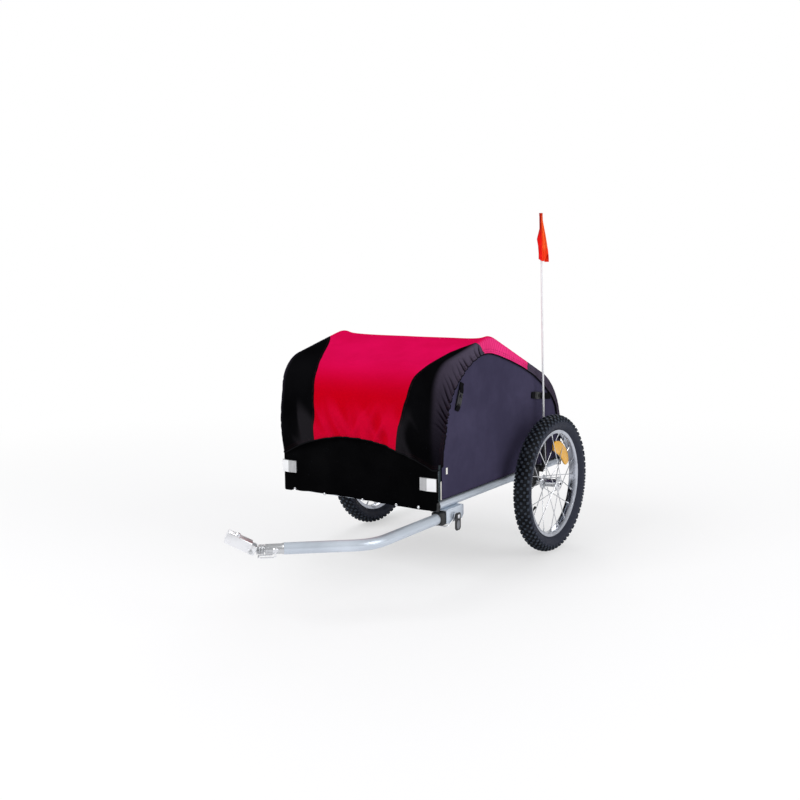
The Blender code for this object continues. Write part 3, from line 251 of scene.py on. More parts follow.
# Frame tubes
# Round aluminium tube, powder-coated silver: a rail down each side, a tube across each end, and
# one under the floor between the axle receivers. Each is cut square and pushed over spigots.
TUBE_WALL, CUT_LIP = 0.0015, 0.0004
WELD = 0.000005  # points nearer than this are one
SIDES = {"left": 1, "right": -1}


def silver_finish():
    """Silver powder coat: fine orange peel, faint streaks and a few grey scuffs."""
    look = Finish("silver_coat", "silver_tube", seen(196, 200, 206), 0.36, 0.6)
    streak = look.noise(9, 4, 0.6, (1, 0.25, 1))
    scuffs = look.noise(55, 6, 0.7).between(0.66, 0.78)
    tone = look.mix(streak.between(0.3, 0.75), seen(194, 203, 214), seen(217, 226, 237))
    look.set(Base_Color=look.mix(scuffs * 0.5, tone, seen(128, 130, 134)))
    look.set(Roughness=0.32 + scuffs * 0.25 + streak * 0.12)
    look.bump((look.noise(700, 2), 0.00008), (scuffs, 0.0001))
    return look


def along(start, end):
    """Matrix that lays local Z from start towards end."""
    start, end = Vector(start), Vector(end)
    return Matrix.Translation(start) @ (end - start).to_track_quat("Z", "Y").to_matrix().to_4x4()


def added(made, old):
    """The vertices that a shape has gained."""
    return [v for v in made.verts if v not in old]


def spun(made, profile, steps=48, matrix=Matrix()):
    """Adds (radius, height) points turned round local Z: a ring, or a solid where they meet the axis."""
    old = set(made.verts)
    points = [made.verts.new((radius, 0, height)) for radius, height in profile]
    following = points[1:] + points[:1] if all(radius > 0 for radius, _ in profile) else points[1:]
    lines = [made.edges.new(pair) for pair in zip(points, following)]
    bmesh.ops.spin(made, geom=points + lines, axis=(0, 0, 1), cent=(0, 0, 0), steps=steps, angle=math.tau,
                   use_merge=True)
    bmesh.ops.remove_doubles(made, verts=added(made, old), dist=WELD)
    bmesh.ops.recalc_face_normals(made, faces=[f for f in made.faces if f.verts[0] not in old])
    bmesh.ops.transform(made, matrix=matrix, verts=added(made, old))


def piece(name, made, look, body, *stands_for, slot=None, crease=35):
    """The finished piece, drawn with y = 0 on the axle line, on its body and for its CAD nodes."""
    mesh = bpy.data.meshes.new(name)
    made.transform(FROM_AXLE)
    made.to_mesh(mesh)
    made.free()
    mesh.materials.append(look.material)
    mesh.shade_smooth()
    mesh.set_sharp_from_angle(angle=math.radians(crease))
    obj = bpy.data.objects.new(name, mesh)
    scene.collection.objects.link(obj)
    if body:
        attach(obj, body)
    if stands_for:
        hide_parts(*stands_for)
    return obj


def span(node):
    """Low and high corners of a CAD node, with y = 0 on the axle line."""
    low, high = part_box(node)
    return Vector((low.x, low.y - AXLE_Y, low.z)), Vector((high.x, high.y - AXLE_Y, high.z))


def tube_for(node, axis):
    """Smooth tube in the place of a CAD one, with its cut ends slightly rounded."""
    low, high = span(node)
    start, end = (low + high) / 2, (low + high) / 2
    start[axis], end[axis] = low[axis], high[axis]
    radius, long = (high - low)[(axis + 1) % 3] / 2, high[axis] - low[axis]
    ring = [(radius - CUT_LIP, long), (radius, long - CUT_LIP), (radius, CUT_LIP), (radius - CUT_LIP, 0),
            (radius - TUBE_WALL, 0), (radius - TUBE_WALL, long)]
    made = bmesh.new()
    spun(made, ring, 40, along(start, end))
    piece(node + "_tube", made, SILVER, "frame", node)


SILVER = silver_finish()
for side in SIDES:
    tube_for(f"{side}_side_rail", 1)
for node in ("front_cross_tube", "rear_cross_tube", "axle_cross_tube"):
    tube_for(node, 0)

# Corner mouldings and axle receivers
# Black glass-filled nylon. A corner joins a rail to a cross tube and carries the foot of a hoop;
# a receiver is clamped round the rail over the axle line by screws and takes the wheel's axle.
RAIL_LOW, RAIL_HIGH = span("left_side_rail")
RAIL_X, RAIL_Z = (RAIL_LOW.x + RAIL_HIGH.x) / 2, (RAIL_LOW.z + RAIL_HIGH.z) / 2
RAIL_R = (RAIL_HIGH.z - RAIL_LOW.z) / 2
WHEEL_R = 0.202
CORNER_HIGH = RAIL_Z + RAIL_R + 0.0035
CORNER_LOW = RAIL_Z - RAIL_R - 0.0015
CORNER_IN, CORNER_OUT = RAIL_X - 0.0125, RAIL_X + 0.0120
ENDS = {"front": (-0.512, -1), "rear": (0.1895, 1)}
SLEEVE = ((0.0008, 0.0011), (0.0008, 0), (-0.001, 0), (-0.001, 0.0011))


def plastic_finish(name, colour, rough=0.45):
    """Moulded plastic: fine spark-eroded grain, rubbed smoother in places."""
    look = Finish(name, "black_plastic", colour, rough)
    worn = look.noise(40, 4).between(0.45, 0.7)
    look.set(Roughness=rough + 0.1 - worn * 0.18)
    look.bump((look.noise(1800, 2), 0.00006), (look.noise(60, 3), 0.00012))
    return look


def softened(made, edges, size, segments=2):
    """Rounds edges of a shape."""
    bmesh.ops.bevel(made, geom=list(edges), offset=size, affect="EDGES", segments=segments, profile=0.5,
                    material=-1)


def block(made, corner, opposite, edge=0.0, segments=3, matrix=Matrix()):
    """Adds a box between two opposite corners, its edges rounded."""
    low, high = (Vector(spot) for spot in zip(*map(sorted, zip(corner, opposite))))
    old = set(made.verts)
    place = Matrix.Translation((low + high) / 2) @ Matrix.Diagonal((*(high - low), 1))
    cube = bmesh.ops.create_cube(made, size=1, matrix=place)["verts"]
    if edge:
        softened(made, {line for v in cube for line in v.link_edges}, edge, segments)
    bmesh.ops.transform(made, matrix=matrix, verts=added(made, old))


def screw_head(made, place, towards, radius=0.0035, deep=0.0022):
    """Adds a pan-head screw with a cross in its dome."""
    matrix = along(place, Vector(place) + Vector(towards))
    dome = ((0, 0.55), (0.35, 0.6), (0.45, 1), (0.8, 0.8), (1, 0.3), (1, 0), (0, 0))
    spun(made, [(radius * share, deep * height) for share, height in dome], 20, matrix)
    for turn in (0, 90):
        arm = (radius * 0.5, radius * 0.11)
        cross = matrix @ Matrix.Rotation(math.radians(turn), 4, "Z")
        block(made, (-arm[0], -arm[1], deep * 0.45), (*arm, deep * 0.62), matrix=cross)


BLACK_PLASTIC = plastic_finish("black_nylon", seen(24, 25, 28))
for end, (y, e) in ENDS.items():
    for side, s in SIDES.items():
        made = bmesh.new()
        block(made, (s * CORNER_IN, y - e * 0.0015, CORNER_LOW),
              (s * CORNER_OUT, y + e * 0.0127, CORNER_HIGH), 0.0035, 4)
        stud = [(0, 0.006), (0.0042, 0.006), (0.0045, 0.0055), (0.0045, 0), (0, 0)]
        spun(made, stud, 24, Matrix.Translation((s * RAIL_X, y, CORNER_HIGH - 0.001)))
        sleeve = [(RAIL_R + thick, height) for thick, height in SLEEVE]
        for mouth, to in ((Vector((s * RAIL_X, y - e * 0.0014, RAIL_Z)), Vector((0, -e, 0))),
                          (Vector((s * (CORNER_IN + 0.0001), y, RAIL_Z)), Vector((-s, 0, 0)))):
            spun(made, sleeve, 40, along(mouth, mouth + to))
        screw_head(made, (s * (CORNER_OUT - 0.0001), y + e * 0.005, RAIL_Z), (s, 0, 0))
        node = f"{end}_{side}_corner"
        piece(node + "_moulding", made, BLACK_PLASTIC, "frame", node)

for side, s in SIDES.items():
    node = f"{side}_axle_receiver"
    low, high = span(node)
    inner, outer = s * (RAIL_X - 0.022), s * max(abs(low.x), abs(high.x))
    made = bmesh.new()
    block(made, (inner, low.y, low.z), (outer, high.y, high.z), 0.004, 4)
    mouth = [(0.0125, 0.0013), (0.013, 0.0008), (0.013, 0), (0.0066, 0), (0.0066, 0.0013)]
    spun(made, mouth, 32, along((outer, 0, WHEEL_R), (outer + s, 0, WHEEL_R)))
    for y in (low.y + 0.007, high.y - 0.007):
        for z in (low.z + 0.010, high.z - 0.008):
            screw_head(made, (outer - s * 0.0001, y, z), (s, 0, 0), 0.003, 0.0014)
    for rib in (-0.012, 0.0, 0.012):
        block(made, (min(inner, outer) + 0.004, rib - 0.0009, low.z - 0.001),
              (max(inner, outer) - 0.004, rib + 0.0009, low.z + 0.003), 0.0004, 2)
    piece(node + "_moulding", made, BLACK_PLASTIC, "frame", node)

# Hoops and bars
# Two bent aluminium hoops stand on the corner mouldings' studs, each foot in a plated ferrule, and
# carry the cover; one bar joins them under the front fold and another under the ridge.
HOOP_R = 0.007
SHOULDER, RIDGE, TAIL = (-0.512, 0.578), (-0.2455, 0.642), (0.1895, 0.459)


def steel_finish(name, colour, rough, stain=0.25):
    """Plated steel with a fine grain, and dull patches where the plating has weathered."""
    look = Finish(name, "bright_steel", colour, rough, 1.0)
    patch = look.noise(70, 5, 0.65).between(0.5, 0.72)
    fine = look.noise(900, 2, 0.5)
    dull = tuple(c * 0.55 for c in colour)
    look.set(Base_Color=look.mix(patch * stain, colour, dull), Roughness=rough + patch * 0.2 + fine * 0.08)
    look.bump((fine, 0.00005))
    return look


def rounded(points, radii, steps=16):
    """The path through points of a plane, with an arc at each inner corner."""
    points = [Vector(p) for p in points]
    path = [points[0]]
    for before, corner, after, radius in zip(points, points[1:], points[2:], radii):
        back, on = (before - corner).normalized(), (after - corner).normalized()
        half = back.angle(on) / 2
        centre = corner + (back + on).normalized() * radius / math.sin(half)
        start, end = (corner + way * radius / math.tan(half) - centre for way in (back, on))
        sweep = math.pi - 2 * half
        for k in range(steps + 1):
            near, far = math.sin((1 - k / steps) * sweep), math.sin(k / steps * sweep)
            path.append(centre + (start * near + end * far) / math.sin(sweep))
    return path + [points[-1]]


def swept(made, path, radius, sides=16, matrix=Matrix()):
    """Adds a round bar along points, its ends closed; a fourth number on a point scales it there."""
    curve = bpy.data.curves.new("path", "CURVE")
    curve.dimensions = "3D"
    curve.bevel_depth, curve.bevel_resolution = radius, (sides - 4) // 2
    curve.use_fill_caps = True
    run = curve.splines.new("POLY")
    run.points.add(len(path) - 1)
    for point, spot in zip(run.points, path):
        point.co = (*spot[:3], 1)
        point.radius = spot[3] if len(spot) > 3 else 1.0
    holder = bpy.data.objects.new("path", curve)
    scene.collection.objects.link(holder)
    bpy.context.view_layer.update()
    solid = holder.evaluated_get(bpy.context.evaluated_depsgraph_get())
    mesh = bpy.data.meshes.new_from_object(solid)
    old = set(made.verts)
    made.from_mesh(mesh)
    bpy.data.objects.remove(holder)
    bpy.data.curves.remove(curve)
    bpy.data.meshes.remove(mesh)
    bmesh.ops.remove_doubles(made, verts=added(made, old), dist=WELD)
    bmesh.ops.transform(made, matrix=matrix, verts=added(made, old))


WHITE_ZINC = steel_finish("white_zinc", seen(240, 241, 244), 0.34, stain=0.08)
foot = CORNER_HIGH + 0.0004
hoop_path = rounded([(SHOULDER[0], foot), SHOULDER, RIDGE, TAIL, (TAIL[0], foot)], (0.0875, 0.05, 0.20))
for side, s in SIDES.items():
    made = bmesh.new()
    swept(made, [(s * RAIL_X, p.x, p.y) for p in hoop_path], HOOP_R, 28)
    piece(f"{side}_hoop_tube", made, SILVER, "frame", f"{side}_hoop")
FERRULE = ((0.0002, 0), (0.0014, 0.0003), (0.0014, 0.0470), (0.0010, 0.0478), (0.0002, 0.0480))
for end, (y, _) in ENDS.items():
    for side, s in SIDES.items():
        made = bmesh.new()
        profile = [(HOOP_R + thick, height) for thick, height in FERRULE]
        spun(made, profile, 32, Matrix.Translation((s * RAIL_X, y, CORNER_HIGH + 0.0008)))
        piece(f"{end}_{side}_hoop_ferrule", made, WHITE_ZINC, "frame", slot="silver_tube")
for node in ("front_bar", "ridge_bar"):
    tube_for(node, 0)

# Floor and fabric walls
# Coated polyester cloth. The floor is stretched between the rails; the side walls are tied inside
# the hoops with a bound edge; the front and rear walls are black and hang from the cross tubes.
PANEL_T, SIDE_OUT, SIDE_FRONT = 0.0015, 0.2528, -0.4968
CORNER_HALF, CORNER_BEND, WRAP = 0.2505, 0.005, 0.0015
QUARTER = CORNER_BEND * math.pi / 2
WALL_HALF = CORNER_HALF + QUARTER + WRAP
WRAP_TOP = 0.335
WALLS = {
    "front": (-1, [(-0.2503, 0.2185), (-0.15, 0.2212), (-0.05, 0.2218), (0.02, 0.2205), (0.12, 0.2180),
                   (0.2, 0.2175), (0.2503, 0.218)]),
    "rear": (1, [(-0.2503, 0.2436), (0.2503, 0.2436)]),
}


def woven(u, v, pitch):
    """Height of a plain weave of the given pitch, from two running lengths in metres."""
    return u.wave(pitch) * v.wave(pitch) * 0.5 + 0.5


def cloth_finish(name, slot, dark, light, rough=0.62, pitch=0.0016):
    """Plain coated cloth: a fine weave, soft creases and dusty patches."""
    look = Finish(name, slot, dark, rough, Specular_IOR_Level=0.0)
    weave = woven(*look.cloth(), pitch)
    cloud = look.noise(6, 5, 0.6)
    crease = look.noise(16, 2, 0.4, (1, 0.5, 1.6))
    slub = look.noise(320, 2, 0.5, (1, 1, 0.12))
    pale = cloud.between(0.3, 0.75) * 0.7 + weave * 0.15 + slub * 0.15
    look.set(Base_Color=look.mix(pale, dark, light), Roughness=rough + cloud * 0.12)
    look.bump((crease, 0.004), (weave, 0.00025), (slub, 0.0002))
    return look


def mapped(name, columns, rows, place, look, body, node, thick, outwards, tags=None):
    """A sheet of cloth. place(u, v) gives a spot and the metres on the cloth, tags(u, v) other values."""
    made = bmesh.new()
    bmesh.ops.create_grid(made, x_segments=columns, y_segments=rows, size=0.5)
    layers = {key: made.verts.layers.float.new(key) for key in (tags(0.5, 0.5) if tags else {})}
    chart = made.loops.layers.uv.new("cloth")
    metres = {}
    for vert in made.verts:
        u, v = vert.co.x + 0.5, vert.co.y + 0.5
        vert.co, metres[vert] = place(u, v)
        for key, value in (tags(u, v) if tags else {}).items():
            vert[layers[key]] = value
    for face in made.faces:
        for loop in face.loops:
            loop[chart].uv = metres[loop.vert]
    made.normal_update()
    centre = place(0.5, 0.5)[0]
    middle = min(made.faces, key=lambda face: (face.calc_center_median() - centre).length)
    if middle.normal.dot(Vector(outwards)) < 0:
        bmesh.ops.reverse_faces(made, faces=made.faces)
    obj = piece(name, made, look, body, node, crease=80)
    wall = obj.modifiers.new("Solidify", "SOLIDIFY")
    wall.thickness, wall.offset = thick, -1
    return obj


def within(value, least=0.0, most=1.0):
    """The value, held between two limits."""
    return min(max(value, least), most)


def smooth(low, high, at):
    """0 up to low, 1 from high and an even curve between."""
    share = within((at - low) / (high - low))
    return share * share * (3 - 2 * share)


def hump(share):
    """0 at both ends of a run and 1 in its middle."""
    return math.sin(math.pi * share)


def follow(table, at):
    """Value at a place in a table of (place, value) rows, straight between rows."""
    for (a, low), (b, high) in zip(table, table[1:]):
        if at <= b:
            return low + (high - low) * max(0.0, at - a) / (b - a)
    return table[-1][1]


FLOOR_CLOTH = cloth_finish("floor_cloth", "floor_cloth", seen(24, 24, 27), seen(40, 40, 44))
floor_low, floor_high = span("floor_panel")
floor_size = tuple(floor_high - floor_low)[:2]


def floor_place(u, v):
    """The floor's cloth, sagging a little."""
    sag = 0.0018 * hump(u) * hump(v) * (1 + 0.4 * noise.noise((u * 4, v * 6, 3)))
    flat = (u * floor_size[0], v * floor_size[1])
    return Vector((floor_low.x + flat[0], floor_low.y + flat[1], floor_high.z - sag)), flat


floor_sheet = mapped("floor_sheet", 60, 90, floor_place, FLOOR_CLOTH, "frame", "floor_panel", 0.0016,
                     (0, 0, 1))

SLATE = cloth_finish("slate_cloth", "slate_cloth", seen(56, 53, 74), seen(72, 68, 92))
side_low, side_high = span("left_side_panel")
side_edge = rounded([(side_low.y, 0.3), (side_low.y, 0.5724), (-0.2461, 0.6326), (side_high.y, 0.4515),
                     (side_high.y, 0.3)], (0.079, 0.0415, 0.1915), 20)
SIDE_TOP = sorted((p.x, p.y) for p in side_edge[1:-1])
side_size = (side_high.y - SIDE_FRONT, side_high.z - side_low.z)


def side_place(s):
    """The cloth of one side wall, its columns packed closer towards the front."""
    def place(u, v):
        share = u ** 1.5 if u < 0.5 else 1 - (1 - 0.5 ** 1.5) * 2 * (1 - u)
        y = SIDE_FRONT + side_size[0] * share
        z = side_low.z + (follow(SIDE_TOP, y) - side_low.z) * v
        swell = 0.0016 * hump(v) * hump(u) + 0.0009 * noise.noise((y * 7, z * 5, s * 4))
        return Vector((s * (SIDE_OUT + swell), y, z)), (y, z)
    return place


for side, s in SIDES.items():
    wall = mapped(f"{side}_wall", 120, 70, side_place(s), SLATE, "frame", f"{side}_side_panel", PANEL_T,
                  (s, 0, 0))


def wall_place(low, high, e, foot):
    """The cloth of an end wall, wrapped round the two corners at its ends."""
    def place(u, v):
        q = (2 * u - 1) * WALL_HALF
        side, reach = (1 if q >= 0 else -1), abs(q)
        turn = within((reach - CORNER_HALF) / CORNER_BEND, 0, math.pi / 2)
        back = CORNER_BEND * (1 - math.cos(turn)) + max(reach - CORNER_HALF - QUARTER, 0)
        bottom = follow(foot, q) + 0.010 * smooth(CORNER_HALF, CORNER_HALF + 0.006, reach)
        bottom += 0.0014 * noise.noise((q * 34, 9, e)) * (e < 0)
        top = high.z - (high.z - WRAP_TOP) * smooth(CORNER_HALF - 0.012, CORNER_HALF + 0.002, reach)
        z = bottom + (top - bottom) * v
        wave = 0.0022 * noise.noise((q * 22, z * 4, e)) * (1 - v) + 0.002 * hump(v) * hump(u)
        x = side * (min(reach, CORNER_HALF) + CORNER_BEND * math.sin(turn))
        y = (low.y if e < 0 else high.y) - e * back + e * wave * math.cos(turn)
        return Vector((x, y, z)), (q, z)
    return place


BLACK_CLOTH = cloth_finish("black_cloth", "black_cloth", seen(4, 4, 5), seen(13, 13, 14))
for end, (e, foot) in WALLS.items():
    low, high = span(f"{end}_panel")
    wall = mapped(f"{end}_wall", 150, 50, wall_place(low, high, e, foot), BLACK_CLOTH, "frame",
                  f"{end}_panel", PANEL_T, (0, e, 0))

# Cover
# One sewn cap of coated nylon over both hoops: a red centre between black side gores, with a hem
# turned down over the side walls and drawn in by elastic, so that it gathers round the front.
COVER_SIDE, COVER_EDGE, COVER_T = 0.2558, 0.012, 0.0014
FLAT_HALF, BEND = COVER_SIDE - COVER_EDGE, COVER_EDGE * math.pi / 2
HEM_FRONT, HEM_REAR, HEM_ARCH = 0.325, 0.300, 0.065
WALL_TOP, REAR_TOP = 0.1822, 1.118  # metres along the cover, where the hoops' upright runs end
GATHER_PITCH, CHANNEL = 0.024, 0.010
DENSE_U, DENSE_S, DENSE_V = 0.62, 0.56, 0.62  # where the grid's spacing changes, along and across
# metres along the cover, and the side hem's y and z there
HEM_LINE = (
    (0, -0.4975, 0.330), (0.04, -0.497, 0.365), (0.075, -0.492, 0.392), (0.11, -0.485, 0.417),
    (0.15, -0.477, 0.450), (0.185, -0.469, 0.475), (0.215, -0.459, 0.500), (0.245, -0.448, 0.517),
    (0.275, -0.431, 0.535), (0.31, -0.406, 0.555), (0.35, -0.374, 0.576), (0.39, -0.342, 0.591),
    (0.43, -0.312, 0.600), (0.475, -0.283, 0.604), (0.525, -0.250, 0.602), (0.58, -0.205, 0.592),
    (0.65, -0.131, 0.570), (0.73, -0.061, 0.546), (0.81, 0.012, 0.515), (0.88, 0.075, 0.479),
    (0.945, 0.127, 0.441), (1.0, 0.154, 0.411), (1.04, 0.163, 0.385), (1.09, 0.170, 0.350),
    (1.15, 0.174, 0.316))
HEM_Y, HEM_Z = ([(row[0], row[axis]) for row in HEM_LINE] for axis in (1, 2))
# metres along the cover, and half the width of the red there
RED_REAR = ((0.465, 0.258), (0.474, 0.33), (0.52, 0.5), (0.70, 0.5), (0.743, 0.33), (0.762, 0.258),
            (0.775, 0.235), (0.82, 0.215), (0.87, 0.205), (0.93, 0.19), (0.98, 0.165), (1.03, 0.155),
            (1.15, 0.14))
RED_LEFT = ((0, 0.140), (0.056, 0.149), (0.105, 0.156), (0.15, 0.161), (0.196, 0.169), (0.237, 0.174),
            (0.25, 0.178), (0.265, 0.187), (0.284, 0.195), (0.301, 0.200), (0.346, 0.201),
            (0.394, 0.203), (0.433, 0.217), (0.452, 0.232), (0.458, 0.240), *RED_REAR)
RED_RIGHT = ((0, 0.129), (0.05, 0.126), (0.10, 0.126), (0.15, 0.131), (0.19, 0.137), (0.25, 0.144),
             (0.30, 0.158), (0.34, 0.180), (0.38, 0.200), (0.42, 0.221), (0.445, 0.236), (0.458, 0.246),
             *RED_REAR)


def left_of(run):
    """A quarter turn to the left of a direction in the plane."""
    return Vector((-run.y, run.x))


def moved(points, distances):
    """The open path of straight runs, each moved to its left."""
    runs = []
    for start, end, distance in zip(points, points[1:], distances):
        start, end = Vector(start), Vector(end)
        run = (end - start).normalized()
        runs.append((start + left_of(run) * distance, run, end + left_of(run) * distance))
    path = [runs[0][0]]
    for (p, u, _), (q, v, _) in zip(runs, runs[1:]):
        path.append(p + u * ((q - p).cross(v) / u.cross(v)))
    return path + [runs[-1][2]]


cover_runs = [(SHOULDER[0], HEM_FRONT), SHOULDER, RIDGE, TAIL, (TAIL[0], HEM_REAR)]
cover_line = rounded(moved(cover_runs, (0.0177, 0.010, 0.010, 0.012)), (0.0975, 0.085, 0.21), 24)
COVER_RUN = [0.0]
for start, end in zip(cover_line, cover_line[1:]):
    COVER_RUN.append(COVER_RUN[-1] + (end - start).length)
FULL = COVER_RUN[-1]


@cache
def on_line(s):
    """Point and outward direction of the cover's middle line, s metres from the front hem."""
    last = len(cover_line) - 1
    k = within(sum(run <= s for run in COVER_RUN) - 1, 0, last - 1)
    share = (s - COVER_RUN[k]) / (COVER_RUN[k + 1] - COVER_RUN[k])
    ways = [left_of((cover_line[min(i + 1, last)] - cover_line[max(i - 1, 0)]).normalized())
            for i in (k, k + 1)]
    return cover_line[k].lerp(cover_line[k + 1], share), ways[0].lerp(ways[1], share).normalized()


def evened(table, at, step):
    """Value in a table, evened out over a step to each side."""
    return sum(follow(table, at + k * step) for k in (-1, 0, 1)) / 3


@cache
def hem_at(s):
    """Place of the side hem, as (y, z), where the cloth turned down s metres along ends."""
    return Vector((evened(HEM_Y, s, 0.012), evened(HEM_Z, s, 0.012)))


@cache
def hem_band(s):
    """Width of the cloth turned down over the side wall."""
    point, out = on_line(s)
    return (hem_at(s) - (point - out * COVER_EDGE)).length


def cover_spot(s, q):
    """Place on the cover s metres along and q metres across, and which way is out there."""
    point, out = on_line(s)
    side, reach = (1 if q >= 0 else -1), abs(q)
    across = min(reach / FLAT_HALF, 1)
    sag = 0.0085 * smooth(0.16, 0.26, s) * smooth(FULL, 1.0, s) * (1 - across ** 11)
    bulge, lift = 0.0, 0.0
    if s < WALL_TOP:
        bulge = 0.010 * hump(s / WALL_TOP)
        lift = HEM_ARCH * (1 - s / WALL_TOP) * (1 - across ** 2)
    elif s > REAR_TOP:
        lift = HEM_ARCH / 2 * (s - REAR_TOP) / (FULL - REAR_TOP) * (1 - across ** 2)
    turn = within((reach - FLAT_HALF) / COVER_EDGE, 0, math.pi / 2)
    spot = point + out * bulge - out * (COVER_EDGE * (1 - math.cos(turn)) + sag)
    down = max(reach - FLAT_HALF - BEND, 0)
    if down:
        spot = spot.lerp(hem_at(s), min(down / hem_band(s), 1))
    x = side * (min(reach, FLAT_HALF) + COVER_EDGE * math.sin(turn))
    facing = Vector((side * math.sin(turn), *(out * math.cos(turn))))
    return Vector((x, spot.x, spot.y + lift)), facing


def pinched(at, pitch):
    """1 in the narrow valleys that repeat along a run, and 0 between them."""
    return (1 - abs(math.sin(math.pi * at / pitch))) ** 1.6


def creases(s, q):
    """Depth, 0 to 1, of the drawn hem's creases, and the share of the turned-down cloth passed here."""
    past = abs(q) - FLAT_HALF
    share = within((past + 0.008) / (BEND + hem_band(s) + 0.008))
    drawn = smooth(0.0, 0.12, s) * (1 - 0.75 * smooth(0.44, 0.56, s))
    lean = s + 0.42 * past + 0.020 * noise.noise((s * 15, q * 11, 5))
    small = pinched(lean + 0.004, GATHER_PITCH * 0.41) * smooth(0.55, 0.9, share)
    strength = 0.8 + 1.0 * noise.noise((lean * 30, 7, q * 5))
    ragged = 0.35 * (noise.noise((lean * 36, 3, 1 if q > 0 else -1)) + 0.4)
    reached = smooth(ragged - 0.05, 0.85, share)
    return max(pinched(lean, GATHER_PITCH), 0.6 * small) * strength * drawn * reached, share


def front_folds(s, q):
    """Height, 0 to 1, of the soft folds that fan up the front from the drawn hem."""
    total = 0.0
    for across, slant, fine, seed, weight in ((q, 0.42, 11, 11, 1), (abs(q), -0.36, 14, 23, 1),
                                              (q, 0.10, 7, 5, 0.7)):
        fold = 1 - abs(noise.noise((across * fine + slant * s * fine, seed, s * 1.5))) * 3.2
        total += max(fold, 0) ** 2 * weight
    return min(total, 1.4) * (1 - smooth(0.05, 0.22, s)) * (1 - smooth(0.72, 0.97, abs(q) / FLAT_HALF))


def to_hem(s, q):
    """Metres from here to the side hem."""
    return BEND + hem_band(s) - (abs(q) - FLAT_HALF)


def gathers(s, q):
    """How far the drawn-up hem, the slack and the pull of the hem's ends push the cloth out."""
    depth, share = creases(s, q)
    puffed = smooth(0.1, 0.8, share) * smooth(0.0, 0.12, s) * (1 - 0.6 * smooth(0.44, 0.56, s))
    total = 0.0040 * puffed - 0.0066 * depth
    total += 0.0018 * hump(within(to_hem(s, q) / CHANNEL)) * (share > 0.3)
    total += 0.0016 * (noise.noise((q * 7, s * 6, 1)) + 0.5) * (1 - share)
    return total + 0.0095 * front_folds(s, q) if s < 0.22 else total


def cover_reach(s, v):
    """Metres across for v from -1 to 1, with the points packed close over the turned-down sides."""
    side, at = (1 if v >= 0 else -1), abs(v)
    if at < DENSE_V:
        return side * FLAT_HALF * at / DENSE_V
    return side * (FLAT_HALF + (BEND + hem_band(s)) * (at - DENSE_V) / (1 - DENSE_V))


def cover_run(u):
    """Metres along for u from 0 to 1, with the points packed closer over the gathered front."""
    if u < DENSE_U:
        return DENSE_S * u / DENSE_U
    return DENSE_S + (FULL - DENSE_S) * (u - DENSE_U) / (1 - DENSE_U)


def cover_place(u, v):
    """The cover's cloth with its gathers."""
    s = cover_run(u)
    q = cover_reach(s, 2 * v - 1)
    spot, facing = cover_spot(s, q)
    return spot + facing * gathers(s, q), (q, s)


def cover_tags(u, v):
    """How far the seam and the hem are, how much painted light the cloth takes, and how turned down, creased
    and folded it is.
    """
    s = cover_run(u)
    q = cover_reach(s, 2 * v - 1)
    half, past = (RED_LEFT if q > 0 else RED_RIGHT), abs(q) - FLAT_HALF
    slope = (follow(half, s + 0.004) - follow(half, s - 0.004)) / 0.008
    return {
        "seam": (evened(half, s, 0.008) - abs(q)) / math.sqrt(1 + slope * slope),
        "hem": min(to_hem(s, q), s, FULL - s),
        # painted light: a pinker sheen over the top, most on the turned-down flap that faces the side lamp
        "faded": smooth(0.15, 0.33, s) * 0.6 + 0.4 * smooth(0.0, 0.02, past),
        "turned": smooth(-0.004, 0.014, past),
        "crease": creases(s, q)[0],
        "fold": front_folds(s, q),
    }


